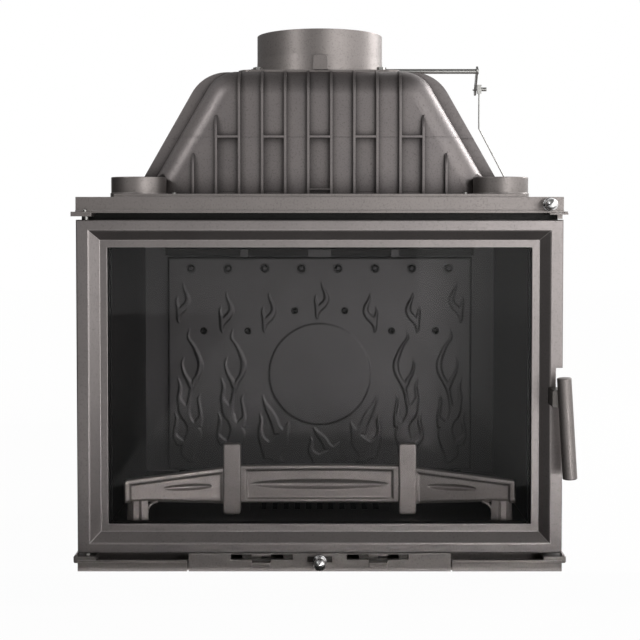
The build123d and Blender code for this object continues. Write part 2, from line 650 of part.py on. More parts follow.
WIRE_X = 259.3
KINK_Z = 657.0
HOOK_Z = SHAFT_Z - CRANK_DROP
SLEEVE_R = 5.0
SLEEVE_BACK = WIRE_REST_Y + 4.0

with BuildPart() as control_rod:
    rod_y(ROD_X, ROD_Z, ROD_R, KNOB_Y, SLEEVE_BACK)
    rod_y(ROD_X, ROD_Z, SLEEVE_R, SLEEVE_BACK - 8, SLEEVE_BACK)
finish(control_rod, "control_rod")

with BuildPart() as damper_wire:
    with BuildLine() as wire_path:
        FilletPolyline((ROD_X - 4.2, WIRE_REST_Y, ROD_Z + 1.4), (WIRE_X, WIRE_REST_Y, KINK_Z),
                       (WIRE_X, WIRE_REST_Y, HOOK_Z), (CRANK_X - 4, WIRE_REST_Y, HOOK_Z),
                       radius=3)
    with BuildSketch(Plane(origin=wire_path.line @ 0, z_dir=wire_path.line % 0)):
        Circle(WIRE_R)
    sweep()
    rod_y(ROD_X, ROD_Z, SLEEVE_R, SLEEVE_BACK - 8, SLEEVE_BACK, mode=Mode.SUBTRACT)
finish(damper_wire, "damper_wire")

CLAMP_X = (256.2, 262.6)
CLAMP_Z = (713.3, 727.6)

with BuildPart() as wire_clamp:
    block(CLAMP_X, (WIRE_REST_Y - 5, WIRE_REST_Y + 5), CLAMP_Z)
    rod_x(WIRE_REST_Y, sum(CLAMP_Z) / 2, 3.2, CLAMP_X[1], CLAMP_X[1] + 8.6)
    add(damper_wire.part, mode=Mode.SUBTRACT)
finish(wire_clamp, "wire_clamp")

with BuildPart() as damper_knob:
    rod_y(ROD_X, ROD_Z, 10.0, KNOB_COLLAR_Y - 1, KNOB_COLLAR_Y + 1)
    rod_y(ROD_X, ROD_Z, 5.0, KNOB_Y, KNOB_COLLAR_Y)
    with Locations((ROD_X, KNOB_Y, ROD_Z)):
        Sphere(KNOB_R)
    rod_y(ROD_X, ROD_Z, ROD_R, KNOB_Y, KNOB_COLLAR_Y + 2, mode=Mode.SUBTRACT)
finish(damper_knob, "damper_knob")

# ---- inside the fire box ------------------------------------------------------------
SLOT_WIDTH = 9.0
SLOT_PITCH = 17.5

with BuildPart() as hearth_floor:
    block((-306.5, 306.5), (FRAME_BACK + 1, REAR_IN), (PLENUM_TOP, FLOOR_Z))
    block((-GRATE_HALF - 0.8, GRATE_HALF + 0.8), (GRATE_FRONT - 0.8, GRATE_BACK + 0.8),
          (PLENUM_TOP, FLOOR_Z), mode=Mode.SUBTRACT)
finish(hearth_floor, "hearth_floor")

with BuildPart() as grate_rests:
    for x_span in ((-GRATE_HALF - 12, -GRATE_HALF + 6), (GRATE_HALF - 6, GRATE_HALF + 12)):
        block(x_span, (GRATE_FRONT, GRATE_BACK), (PLENUM_TOP - 4, PLENUM_TOP))
finish(grate_rests, "grate_rests")

with BuildPart() as grate:
    block((-GRATE_HALF, GRATE_HALF), (GRATE_FRONT, GRATE_BACK), (PLENUM_TOP, FLOOR_Z))
    for i in range(11):
        slot_x = (i - 5) * SLOT_PITCH
        for slot_y in ((GRATE_FRONT + 10, -38.0), (-30.0, GRATE_BACK - 10)):
            block((slot_x - SLOT_WIDTH / 2, slot_x + SLOT_WIDTH / 2), slot_y,
                  (PLENUM_TOP, FLOOR_Z), mode=Mode.SUBTRACT)
finish(grate, "grate")

PAN_HALF = 150.0
PAN_Y = (-150.0, 110.0)
PAN_TOP = 46.0
PAN_SHEET = 1.5

with BuildPart() as ash_pan:
    block((-PAN_HALF, PAN_HALF), PAN_Y, (BASE_PLATE, PAN_TOP))
    block((-PAN_HALF + PAN_SHEET, PAN_HALF - PAN_SHEET), (PAN_Y[0] + PAN_SHEET, PAN_Y[1] - PAN_SHEET),
          (BASE_PLATE + PAN_SHEET, PAN_TOP), mode=Mode.SUBTRACT)
finish(ash_pan, "ash_pan")

FIREBACK_HALF = 264.5
FIREBACK_Y = 145.0
FIREBACK_BACK = FIREBACK_Y + 9
FIREBACK_LOW = 71.2
FIREBACK_HIGH = 442.1
BOSS_Z = 423.2
BOSS_PITCH = 64.0
RING_Z = 238.5
RING_R = 89.4
# air holes of the fireback: (distance from the middle, height)
BACK_HOLE_R = 3.8
BACK_HOLES = ((202.0, 314.0), (125.0, 314.0), (43.5, 349.0))

with BuildPart() as fireback:
    block((-FIREBACK_HALF, FIREBACK_HALF), (FIREBACK_Y, FIREBACK_BACK),
          (FIREBACK_LOW, FIREBACK_HIGH))
    for i in range(8):
        rod_y((i - 3.5) * BOSS_PITCH, BOSS_Z, 6.5, FIREBACK_Y - 3, FIREBACK_Y)
    rod_y(0, RING_Z, RING_R + 2, FIREBACK_Y - 3, FIREBACK_Y)
    rod_y(0, RING_Z, RING_R - 2, FIREBACK_Y - 3, FIREBACK_Y, mode=Mode.SUBTRACT)
    for side in (-1, 1):
        for distance, hole_z in BACK_HOLES:
            rod_y(side * distance, hole_z, BACK_HOLE_R, FIREBACK_Y, FIREBACK_BACK,
                  mode=Mode.SUBTRACT)
finish(fireback, "fireback")

FOOT_HALF = 15.0

with BuildPart() as fireback_feet:
    for x in (-230.0, 230.0):
        block((x - FOOT_HALF, x + FOOT_HALF), (FIREBACK_Y - 4, FIREBACK_Y + 16),
              (FLOOR_Z, FIREBACK_LOW))
        for z in (130.0, 400.0):
            block((x - FOOT_HALF, x + FOOT_HALF), (FIREBACK_BACK, REAR_IN),
                  (z - FOOT_HALF, z + FOOT_HALF))
finish(fireback_feet, "fireback_feet")

BAFFLE_HALF = 268.0
BAFFLE_FRONT = -60.0
BAFFLE_REAR_LOW = 445.0
BAFFLE_FRONT_LOW = 500.0
BAFFLE_THICK = 9.0
BAFFLE_LIP = (146.0, 162.0)
BAFFLE_REST_Y = (-70.0, -56.0)
BAFFLE_REST_Z = (486.0, 498.6)
BAFFLE_REST_IN = 255.0

with BuildPart() as baffle_plate:
    with BuildSketch(Plane.YZ.offset(-BAFFLE_HALF)):
        with BuildLine():
            Polyline((BAFFLE_FRONT, BAFFLE_FRONT_LOW), (BAFFLE_LIP[0], BAFFLE_REAR_LOW + 12),
                     (BAFFLE_LIP[0], BAFFLE_REAR_LOW), (BAFFLE_LIP[1], BAFFLE_REAR_LOW),
                     (BAFFLE_LIP[1], BAFFLE_REAR_LOW + 12 + BAFFLE_THICK),
                     (BAFFLE_FRONT, BAFFLE_FRONT_LOW + BAFFLE_THICK), close=True)
        make_face()
    extrude(amount=2 * BAFFLE_HALF)
finish(baffle_plate, "baffle_plate")

with BuildPart() as baffle_rests:
    for side in (-1, 1):
        edges = sorted((side * BAFFLE_REST_IN, side * WALL_IN))
        block(edges, BAFFLE_REST_Y, BAFFLE_REST_Z)
finish(baffle_rests, "baffle_rests")

HOOK_IN = 123.8
HOOK_OUT = 137.7
MIDDLE_HOOK_HALF = 20.0
HOOK_FRONT = 138.0
HOOK_LOW = FIREBACK_HIGH + 0.6

with BuildPart() as baffle_hooks:
    for x_span in ((-HOOK_OUT, -HOOK_IN), (HOOK_IN, HOOK_OUT), (-MIDDLE_HOOK_HALF, MIDDLE_HOOK_HALF)):
        block(x_span, (HOOK_FRONT, BAFFLE_LIP[0]), (HOOK_LOW, BAFFLE_REAR_LOW + 11))
        block(x_span, (BAFFLE_LIP[0], REAR_IN), (HOOK_LOW, BAFFLE_REAR_LOW))
finish(baffle_hooks, "baffle_hooks")

# log fence: a bowed casting with a middle bar, two posts, two wings and a foot at each end
POST_IN = 119.0
POST_OUT = 146.0
POST_Z = (64.4, 171.9)
FENCE_Y = -131.0
FENCE_HALF = 5.0            # half thickness of the bar and the wings
BAR_LOW = 81.5
BAR_HIGH = 138.0            # at the bar's ends
BAR_CROWN = 139.5           # in the bar's middle
WING_END = (292.0, -162.0)
WING_HIGH = (135.5, 122.5)  # upper edge at the post and at the end
WING_LOW = (79.5, 88.0)     # lower edge at the post and before the foot
WING_END_LOW = 90.0
FOOT_FROM_END = (8.0, 38.0)
BRACE_FROM_END = 48.0
WING_RUN = WING_END[0] - POST_OUT
WING_SET = FENCE_Y - WING_END[1]
WING_TURN = math.atan2(WING_SET, WING_RUN)
WING_LENGTH = math.hypot(WING_RUN, WING_SET) + 4
wing_plane = Plane(origin=(POST_OUT - 4, FENCE_Y, 0),
                   x_dir=(math.cos(WING_TURN), -math.sin(WING_TURN), 0),
                   z_dir=(-math.sin(WING_TURN), -math.cos(WING_TURN), 0))

with BuildPart() as fence_wing:
    with BuildSketch(wing_plane.offset(-FENCE_HALF)):
        with BuildLine():
            Polyline((0, WING_LOW[0]), (0, WING_HIGH[0]), (WING_LENGTH, WING_HIGH[1]),
                     (WING_LENGTH, WING_END_LOW), (WING_LENGTH - FOOT_FROM_END[0], FLOOR_Z),
                     (WING_LENGTH - FOOT_FROM_END[1], FLOOR_Z),
                     (WING_LENGTH - BRACE_FROM_END, WING_LOW[1]), close=True)
        make_face()
    extrude(amount=2 * FENCE_HALF)

with BuildPart() as log_fence:
    for x_span in ((-POST_OUT, -POST_IN), (POST_IN, POST_OUT)):
        block(x_span, (FENCE_Y - 8, FENCE_Y + 8), POST_Z)
    with BuildSketch(Plane.XZ.offset(-FENCE_Y - FENCE_HALF)):
        with BuildLine():
            Polyline((-POST_IN, BAR_HIGH), (-POST_IN, BAR_LOW), (POST_IN, BAR_LOW),
                     (POST_IN, BAR_HIGH))
            ThreePointArc((POST_IN, BAR_HIGH), (0, BAR_CROWN), (-POST_IN, BAR_HIGH))
        make_face()
    extrude(amount=2 * FENCE_HALF)
    add(fence_wing.part)
    mirror(fence_wing.part, about=Plane.YZ)
finish(log_fence, "log_fence")

# ---- door ---------------------------------------------------------------------------
DOOR_BACK = FRONT + DOOR_THICK
LIP_FRONT = FRONT + BEVEL_DEPTH
GLASS_FRONT = LIP_FRONT + LIP_THICK
GLASS_BACK = GLASS_FRONT + GLASS_THICK
GLASS_LAP = 8.0
REBATE = 10.0
LIP_WIDTH = HALF_WIDTH - DOOR_BORDER - BEVEL_WIDTH - GLASS_OPEN_HALF
OPENING = (GLASS_OPEN_HALF, GLASS_OPEN_LOW, GLASS_OPEN_HIGH)
SEAL_IN = 13.0
SEAL_OUT = 22.0
SEAL_GROOVE = DOOR_BACK - 3.0
NOTCH_DEPTH = 10.0
EDGE_NOTCH = (240.0, 296.0)
BEVEL_EASE = 0.9


def grown(opening, by):
    """Return an opening (half width, low z, high z) grown by a margin all round."""
    return (opening[0] + by, opening[1] - by, opening[2] + by)


def funnel(wide, narrow):
    """Cut a tapered opening; wide and narrow are (y, margin beyond the glass opening)."""
    sections = []
    for y, margin in (wide, narrow):
        half, low, high = grown(OPENING, margin)
        with BuildSketch(Plane.XZ.offset(-y)) as section:
            with Locations((0, (low + high) / 2)):
                Rectangle(2 * half, high - low)
        sections.append(section.sketch)
    loft(sections, mode=Mode.SUBTRACT)


with BuildPart() as door_frame:
    ring_frame((HALF_WIDTH, DOOR_BOTTOM, DOOR_TOP), OPENING, (FRONT, DOOR_BACK))
    fillet(door_frame.faces().sort_by(Axis.Y)[0].outer_wire().edges(), 2.0)
    # bevel from the border down to the flat lip round the glass, and the easing of its edge
    funnel((FRONT, LIP_WIDTH + BEVEL_WIDTH), (LIP_FRONT, LIP_WIDTH))
    funnel((FRONT, LIP_WIDTH + BEVEL_WIDTH + BEVEL_EASE),
           (FRONT + BEVEL_EASE * BEVEL_DEPTH / BEVEL_WIDTH, LIP_WIDTH + BEVEL_WIDTH - BEVEL_EASE))
    # rebate that takes the glass and its clips
    rebate = grown(OPENING, REBATE)
    block((-rebate[0], rebate[0]), (GLASS_FRONT, DOOR_BACK), rebate[1:], mode=Mode.SUBTRACT)
    # groove for the rope seal
    groove_out = grown(OPENING, SEAL_OUT)
    groove_in = grown(OPENING, SEAL_IN)
    with BuildSketch(Plane.XZ.offset(-DOOR_BACK)):
        with Locations((0, (groove_out[1] + groove_out[2]) / 2)):
            Rectangle(2 * groove_out[0], groove_out[2] - groove_out[1])
        with Locations((0, (groove_in[1] + groove_in[2]) / 2)):
            Rectangle(2 * groove_in[0], groove_in[2] - groove_in[1], mode=Mode.SUBTRACT)
    extrude(amount=DOOR_BACK - SEAL_GROOVE, mode=Mode.SUBTRACT)
    # hinge bores, latch bore and the notch in the right edge
    rod_z(HINGE_X, HINGE_Y, HINGE_PIN_R + PIN_GAP, DOOR_BOTTOM, DOOR_BOTTOM + 17, mode=Mode.SUBTRACT)
    rod_z(HINGE_X, HINGE_Y, HINGE_PIN_R + PIN_GAP, DOOR_TOP - 17, DOOR_TOP, mode=Mode.SUBTRACT)
    rod_y(LATCH_X, LATCH_Z, LATCH_R + PIN_GAP, FRONT, DOOR_BACK, mode=Mode.SUBTRACT)
    block((HALF_WIDTH - NOTCH_DEPTH, HALF_WIDTH), (FRONT, DOOR_BACK), EDGE_NOTCH,
          mode=Mode.SUBTRACT)
finish(door_frame, "door_frame")

with BuildPart() as glass_pane:
    pane = grown(OPENING, GLASS_LAP)
    block((-pane[0], pane[0]), (GLASS_FRONT, GLASS_BACK), pane[1:])
finish(glass_pane, "glass_pane")

CLIP_HALF = 14.0
CLIP_SHEET = 2.0
CLIP_REACH = 9.0
CLIP_SCREW = 5.0            # from the rebate's edge to the screw
# clips: (x, z) on the rebate's edge and the direction from there towards the glass
clip_places = []
for clip_x in (-180.0, 0.0, 180.0):
    clip_places.append((clip_x, rebate[2], 0, -1))
    clip_places.append((clip_x, rebate[1], 0, 1))
for clip_z in (190.0, 350.0):
    clip_places.append((-rebate[0], clip_z, 1, 0))
    clip_places.append((rebate[0], clip_z, -1, 0))

with BuildPart() as glass_clips:
    for clip_x, clip_z, in_x, in_z in clip_places:
        clip_middle = (clip_x + in_x * CLIP_REACH / 2, GLASS_BACK + CLIP_SHEET / 2,
                       clip_z + in_z * CLIP_REACH / 2)
        with Locations(clip_middle):
            if in_x:
                Box(CLIP_REACH, CLIP_SHEET, 2 * CLIP_HALF)
            else:
                Box(2 * CLIP_HALF, CLIP_SHEET, CLIP_REACH)
finish(glass_clips, "glass_clips")

with BuildPart() as clip_screws:
    for clip_x, clip_z, in_x, in_z in clip_places:
        rod_y(clip_x + in_x * CLIP_SCREW, clip_z + in_z * CLIP_SCREW, 3.5,
              GLASS_BACK + CLIP_SHEET, GLASS_BACK + CLIP_SHEET + 2)
finish(clip_screws, "clip_screws")

with BuildPart() as door_seal:
    ring_frame(grown(OPENING, SEAL_OUT), grown(OPENING, SEAL_IN), (SEAL_GROOVE, FRAME_FRONT - 0.4))
finish(door_seal, "door_seal")

# ---- door handle and latch ----------------------------------------------------------
HANDLE_Y = FRONT - 34.0
HANDLE_LEAN = 3.6           # degrees from upright, foot outwards
HANDLE_LENGTH = 144.0
HANDLE_TOP_R = 10.2
HANDLE_FOOT_R = 10.4
HANDLE_MID = (350.3, 214.3)
HUB_LEFT = 329.5
HUB_RIGHT = 347.0
HUB_HALF = 12.5
HUB_STEP = (337.0, LATCH_Z - 7.0)
TONGUE_FRONT = FRAME_BACK + 2.0
TONGUE_BACK = TONGUE_FRONT + 5.0

lean = math.radians(HANDLE_LEAN)
handle_plane = Plane(origin=(HANDLE_MID[0], HANDLE_Y, HANDLE_MID[1]), x_dir=(0, 1, 0),
                     z_dir=(-math.sin(lean), 0, math.cos(lean)))

with BuildPart(handle_plane) as handle_grip:
    Cone(HANDLE_FOOT_R, HANDLE_TOP_R, HANDLE_LENGTH)
    fillet(handle_grip.edges().filter_by(GeomType.CIRCLE), 1.4)
finish(handle_grip, "handle_grip")

# block that carries the handle, cut away below its right half
with BuildPart() as handle_hub:
    with BuildSketch(Plane.XZ.offset(-FRONT + 0.4)) as hub:
        with BuildLine():
            Polyline((HUB_LEFT, LATCH_Z - HUB_HALF), (HUB_STEP[0], LATCH_Z - HUB_HALF),
                     (HUB_STEP[0] + 4, HUB_STEP[1]), (HUB_RIGHT, HUB_STEP[1]),
                     (HUB_RIGHT, LATCH_Z + HUB_HALF), (HUB_LEFT, LATCH_Z + HUB_HALF), close=True)
        make_face()
    extrude(hub.sketch, amount=FRONT - 0.4 - HANDLE_Y)
    fillet(handle_hub.edges().filter_by(Axis.Y).group_by(Axis.X)[0], 2.5)
    add(handle_grip.part, mode=Mode.SUBTRACT)
finish(handle_hub, "handle_hub")

with BuildPart() as latch_shaft:
    rod_y(LATCH_X, LATCH_Z, LATCH_R, FRONT - 0.4, TONGUE_FRONT)
finish(latch_shaft, "latch_shaft")

with BuildPart() as latch_tongue:
    rod_y(LATCH_X, LATCH_Z, 8.0, TONGUE_FRONT, TONGUE_BACK)
    block((LATCH_X - 6, LATCH_X + 6), (TONGUE_FRONT, TONGUE_BACK), (220.0, LATCH_Z))
finish(latch_tongue, "latch_tongue")

print(len(finished), "pieces written")
whole = Compound(finished).bounding_box()
print("box", [round(v, 1) for v in (*whole.min, *whole.max)])
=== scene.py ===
"""Looks of a cast-iron fireplace insert.

Finishes for every CAD piece, and the log fence, fireback, knobs and rope seal as meshes.
"""
import logging
import math
from dataclasses import dataclass
from enum import Enum
from typing import Sequence

import bmesh
import bpy
import numpy as np
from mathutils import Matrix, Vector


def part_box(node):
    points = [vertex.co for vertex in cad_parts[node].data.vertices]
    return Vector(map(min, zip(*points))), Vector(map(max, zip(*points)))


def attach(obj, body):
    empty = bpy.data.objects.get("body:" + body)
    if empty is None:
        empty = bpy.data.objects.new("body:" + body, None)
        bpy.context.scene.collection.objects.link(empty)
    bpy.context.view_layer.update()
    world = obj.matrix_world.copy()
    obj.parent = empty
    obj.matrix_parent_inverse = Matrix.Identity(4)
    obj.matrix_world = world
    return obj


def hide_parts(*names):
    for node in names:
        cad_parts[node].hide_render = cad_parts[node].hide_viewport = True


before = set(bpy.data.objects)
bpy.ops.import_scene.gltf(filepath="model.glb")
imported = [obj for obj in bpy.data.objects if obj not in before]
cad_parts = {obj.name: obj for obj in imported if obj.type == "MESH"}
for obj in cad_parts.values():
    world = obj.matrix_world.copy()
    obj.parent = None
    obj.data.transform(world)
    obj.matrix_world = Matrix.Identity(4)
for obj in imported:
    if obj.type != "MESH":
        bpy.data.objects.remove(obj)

log = logging.getLogger("insert")

MM = 0.001
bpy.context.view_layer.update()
REAR_MIDDLE = 180.0         # y of the middle of the rear wall's thickness, in millimetres

Array = np.ndarray


# ---- shared helpers ------------------------------------------------------------------


def linear(hex_colour: str) -> tuple[float, float, float, float]:
    """Turn an sRGB hex colour into the linear colour that shaders take.

    Args:
        hex_colour: Six hex digits, with or without a leading hash.

    Returns:
        Linear red, green, blue and an alpha of 1.
    """
    digits = hex_colour.lstrip("#")
    channels = [int(digits[i:i + 2], 16) / 255 for i in (0, 2, 4)]
    red, green, blue = [c / 12.92 if c <= 0.04045 else ((c + 0.055) / 1.055) ** 2.4 for c in channels]
    return red, green, blue, 1.0


def add_node(tree: bpy.types.NodeTree, kind: str, links: dict[str | int, object] | None = None,
             **settings: object) -> bpy.types.Node:
    """Add one node, with its settings, its socket values and the links that feed it.

    Args:
        tree: The node tree that takes the node.
        kind: The node's type name, such as "ShaderNodeMix".
        links: Input socket to either a value or the output socket that feeds it.
        **settings: Properties of the node itself.

    Returns:
        The new node.
    """
    node = tree.nodes.new(kind)
    for name, value in settings.items():
        setattr(node, name, value)
    for key, value in (links or {}).items():
        socket = node.inputs[key]
        if isinstance(value, bpy.types.NodeSocket):
            tree.links.new(value, socket)
        else:
            socket.default_value = value
    return node


def new_material(name: str) -> tuple[bpy.types.Material, bpy.types.NodeTree]:
    """Start an empty node material.

    Args:
        name: The material's name.

    Returns:
        The material and its node tree.
    """
    material = bpy.data.materials.new(name)
    material.use_nodes = True
    tree = material.node_tree
    tree.nodes.clear()
    return material, tree


def grid_faces(rows: int, columns: int, wrap_rows: bool, wrap_columns: bool) -> Array:
    """Index the quads of a grid of points.

    Args:
        rows: Number of rows of points.
        columns: Number of points in a row.
        wrap_rows: Whether the last row joins the first.
        wrap_columns: Whether each row closes on itself.

    Returns:
        Quads as an integer array of four columns: along a row, on to the next row, and back.
    """
    i = np.arange(rows if wrap_rows else rows - 1)
    j = np.arange(columns if wrap_columns else columns - 1)
    i, j = np.meshgrid(i, j, indexing="ij")
    down = (i + 1) % rows
    right = (j + 1) % columns
    quads = np.stack([i * columns + j, i * columns + right, down * columns + right, down * columns + j], -1)
    return quads.reshape(-1, 4)


def mesh_object(name: str, points: Array, faces: Sequence, smooth: bool = True) -> bpy.types.Object:
    """Make a mesh object at the origin from points in metres.

    Args:
        name: The object's name.
        points: Array of points, one per row.
        faces: Faces as lists of point numbers.
        smooth: Whether the faces are shaded smooth.

    Returns:
        The object, linked to the scene.
    """
    mesh = bpy.data.meshes.new(name)
    corners = [list(map(int, face)) for face in faces]
    mesh.from_pydata(np.asarray(points, float).reshape(-1, 3).tolist(), [], corners)
    mesh.validate()
    mesh.update()
    mesh.polygons.foreach_set("use_smooth", [smooth] * len(mesh.polygons))
    thing = bpy.data.objects.new(name, mesh)
    bpy.context.scene.collection.objects.link(thing)
    return thing


def outward(thing: bpy.types.Object, merge: float = 1e-6) -> None:
    """Merge doubled points and turn all faces outwards.

    Args:
        thing: The mesh object to mend.
        merge: Points closer than this, in metres, become one.
    """
    work = bmesh.new()
    work.from_mesh(thing.data)
    bmesh.ops.remove_doubles(work, verts=work.verts, dist=merge)
    bmesh.ops.recalc_face_normals(work, faces=work.faces)
    work.to_mesh(thing.data)
    work.free()


def swept(name: str, sections: Array, caps: bool = True) -> bpy.types.Object:
    """Join closed sections into a solid: point (i, k) is point k of section i.

    Args:
        name: The object's name.
        sections: Array of (section, point, 3) in metres; each section closes on itself.
        caps: Whether flat ends close the first and last sections; without them the last joins the first.

    Returns:
        The closed object with its faces outwards.
    """
    rows, columns = sections.shape[:2]
    faces = grid_faces(rows, columns, not caps, True).tolist()
    if caps:
        faces.append(list(range(columns)))
        faces.append(list(range((rows - 1) * columns, rows * columns)))
    thing = mesh_object(name, sections.reshape(-1, 3), faces)
    outward(thing)
    return thing


def smooth_step(value: Array) -> Array:
    """Rise from 0 to 1 as the value goes from 0 to 1, level at both ends."""
    clipped = np.clip(value, 0.0, 1.0)
    return clipped * clipped * (3 - 2 * clipped)


def largest(first: Array, *others: Array) -> Array:
    """Take the largest of several values point by point."""
    for other in others:
        first = np.maximum(first, other)
    return first


def sided(stem: str, side: int) -> str:
    """Name the left (-1) or right (1) one of a pair."""
    return stem + ("_left" if side < 0 else "_right")


def rounded_outline(half_x: float, half_z: float, radius: float, steps: int = 8) -> tuple[Array, Array]:
    """Trace a rectangle with round corners: corner centre + radius (cos a, sin a), a quarter turn each.

    Args:
        half_x: Half width.
        half_z: Half height.
        radius: Corner radius.
        steps: Points on each corner.

    Returns:
        The outline's points and their outward directions, as arrays of two columns.
    """
    start = np.repeat(np.arange(4) * math.pi / 2, steps)
    angle = start + np.tile(np.linspace(0, math.pi / 2, steps), 4)
    out = np.stack([np.cos(angle), np.sin(angle)], -1)
    corner = np.sign(np.stack([np.cos(start + math.pi / 4), np.sin(start + math.pi / 4)], -1))
    return corner * (half_x - radius, half_z - radius) + radius * out, out


def revolved(name: str, profile: Array, centre: Sequence[float], axis: str,
             turns: int = 64) -> bpy.types.Object:
    """Turn a profile round an axis: point = centre + r (cos a, sin a) across the axis + h along it.

    Args:
        name: The object's name.
        profile: Rows of (radius, height) in metres; a radius of 0 closes a pole.
        centre: The point of the axis where the height is 0.
        axis: "x", "y" or "z", the direction of the heights.
        turns: Number of steps round the axis.

    Returns:
        The closed object with its faces outwards.
    """
    angle = np.linspace(0, 2 * math.pi, turns, endpoint=False)
    radius = profile[:, 0][:, None]
    height = np.repeat(profile[:, 1][:, None], turns, 1)
    u, v = radius * np.cos(angle), radius * np.sin(angle)
    order = {"x": (height, u, v), "y": (v, height, u), "z": (u, v, height)}[axis]
    points = np.stack(order, -1) + np.asarray(centre)
    thing = mesh_object(name, points, grid_faces(len(profile), turns, False, True))
    outward(thing)
    return thing


def finish_piece(thing: bpy.types.Object, material: bpy.types.Material, body: str,
                 stands_for: Sequence[str] = ()) -> None:
    """Give a new piece its finish, its body and the CAD nodes that it stands for.

    Args:
        thing: The piece.
        material: Its finish.
        body: The CAD body that it rides on.
        stands_for: The CAD nodes that it replaces.
    """
    thing.data.materials.clear()
    thing.data.materials.append(material)
    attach(thing, body)
    if stands_for:
        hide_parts(*stands_for)
    log.info("%s: %d faces on %s", thing.name, len(thing.data.polygons), body)


def dress(node: str, material: bpy.types.Material) -> None:
    """Put a finish on every material slot of a CAD node.

    Args:
        node: The CAD node's name.
        material: The finish.
    """
    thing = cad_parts[node]
    if not thing.material_slots:
        thing.data.materials.append(material)
    for entry in thing.material_slots:
        entry.material = material


# ---- finishes ------------------------------------------------------------------------


@dataclass(frozen=True)
class PaintedCasting:
    """Matt stove paint on sand-cast grey iron.

    The sand leaves a fine pebbled skin with a soft, broad sheen. Edges get a painted highlight where the
    eased normal leaves the face's own, and hollows get painted shade where little open sky is left.
    """

    name: str
    colour: str
    shade: str
    fleck: str
    roughness: float
    metallic: float
    grain_mm: float = 2.6       # sand grain, drawn about three times too coarse so that it shows
    relief_mm: float = 0.10
    mottle_mm: float = 55.0     # slow drift of the paint's tone
    edge_mm: float = 1.1        # fettled edges are eased by about this much
    edge_highlight: float = 0.0           # how far the painted edge highlight goes towards its bright tone
    edge_highlight_colour: str = "d8d2cf"
    hollow_shade: float = 0.0          # how far painted shade darkens the hollows
    hollow_shade_colour: str = "262322"
    hollow_mm: float = 38.0
    soot_and_shade_ahead_mm: float = 0.0  # the fire's side of the piece, ahead of this y, is darkened by soot and painted shade
    soot_and_shade_colour: str = "5f5e5f"

    def material(self) -> bpy.types.Material:
        """Build the node material.

        Returns:
            The finish as a material.
        """
        material, tree = new_material(self.name)
        place = add_node(tree, "ShaderNodeTexCoord").outputs["Object"]
        grain = add_node(tree, "ShaderNodeTexNoise", {"Vector": place, "Scale": 1 / (self.grain_mm * MM),
                                                      "Detail": 3.0, "Roughness": 0.65})
        mottle = add_node(tree, "ShaderNodeTexNoise", {"Vector": place, "Scale": 1 / (self.mottle_mm * MM),
                                                       "Detail": 2.0})
        tone = add_node(tree, "ShaderNodeMix", {0: mottle.outputs["Fac"], 6: linear(self.shade),
                                                7: linear(self.colour)}, data_type="RGBA")
        spots = add_node(tree, "ShaderNodeMapRange", {"Value": grain.outputs["Fac"], "From Min": 0.54,
                                                      "From Max": 0.74, "To Min": 0.0, "To Max": 0.5})
        paint = add_node(tree, "ShaderNodeMix", {0: spots.outputs["Result"], 6: tone.outputs[2],
                                                 7: linear(self.fleck)}, data_type="RGBA")
        rough = add_node(tree, "ShaderNodeMapRange", {"Value": grain.outputs["Fac"], "From Min": 0.3,
                                                      "From Max": 0.7, "To Min": self.roughness - 0.05,
                                                      "To Max": self.roughness + 0.07})
        edge = add_node(tree, "ShaderNodeBevel", {"Radius": self.edge_mm * MM}, samples=6)
        facing = add_node(tree, "ShaderNodeNewGeometry").outputs["Normal"]
        turned = add_node(tree, "ShaderNodeVectorMath", {0: facing, 1: edge.outputs["Normal"]},
                          operation="DOT_PRODUCT")
        # painted highlight: eased edges are lightened towards a bright tone, as if they caught the light
        edge_highlight_share = add_node(tree, "ShaderNodeMapRange", {"Value": turned.outputs["Value"], "From Min": 0.998,
                                                     "From Max": 0.965, "To Min": 0.0, "To Max": self.edge_highlight})
        skin = add_node(tree, "ShaderNodeMix", {0: edge_highlight_share.outputs["Result"], 6: paint.outputs[2],
                                                7: linear(self.edge_highlight_colour)}, data_type="RGBA")
        # soot and painted shade: the fire's side of the piece takes a darker tone, for the shade inside the
        # box
        if self.soot_and_shade_ahead_mm:
            depth_y = add_node(tree, "ShaderNodeSeparateXYZ", {0: place}).outputs["Y"]
            inside = add_node(tree, "ShaderNodeMath", {0: depth_y, 1: self.soot_and_shade_ahead_mm * MM},
                              operation="LESS_THAN")
            skin = add_node(tree, "ShaderNodeMix", {0: inside.outputs["Value"], 6: skin.outputs[2],
                                                    7: linear(self.soot_and_shade_colour)}, data_type="RGBA")
        # painted shade: the paint darkens where ambient occlusion finds little open sky, as in the hood's
        # pockets and beside its ribs
        if self.hollow_shade:
            open_sky = add_node(tree, "ShaderNodeAmbientOcclusion", {"Distance": self.hollow_mm * MM},
                                samples=8)
            depth = add_node(tree, "ShaderNodeMapRange", {"Value": open_sky.outputs["AO"],
                                                          "From Min": 0.86, "From Max": 0.42,
                                                          "To Min": 0.0, "To Max": self.hollow_shade})
            skin = add_node(tree, "ShaderNodeMix", {0: depth.outputs["Result"], 6: skin.outputs[2],
                                                    7: linear(self.hollow_shade_colour)}, data_type="RGBA")
        bump = add_node(tree, "ShaderNodeBump", {"Height": grain.outputs["Fac"], "Strength": 0.5,
                                                 "Distance": self.relief_mm * MM,
                                                 "Normal": edge.outputs["Normal"]})
        shader = add_node(tree, "ShaderNodeBsdfPrincipled", {"Base Color": skin.outputs[2],
                                                             "Metallic": self.metallic,
                                                             "Roughness": rough.outputs["Result"],
                                                             "Normal": bump.outputs["Normal"]})
        add_node(tree, "ShaderNodeOutputMaterial", {"Surface": shader.outputs["BSDF"]})
        return material


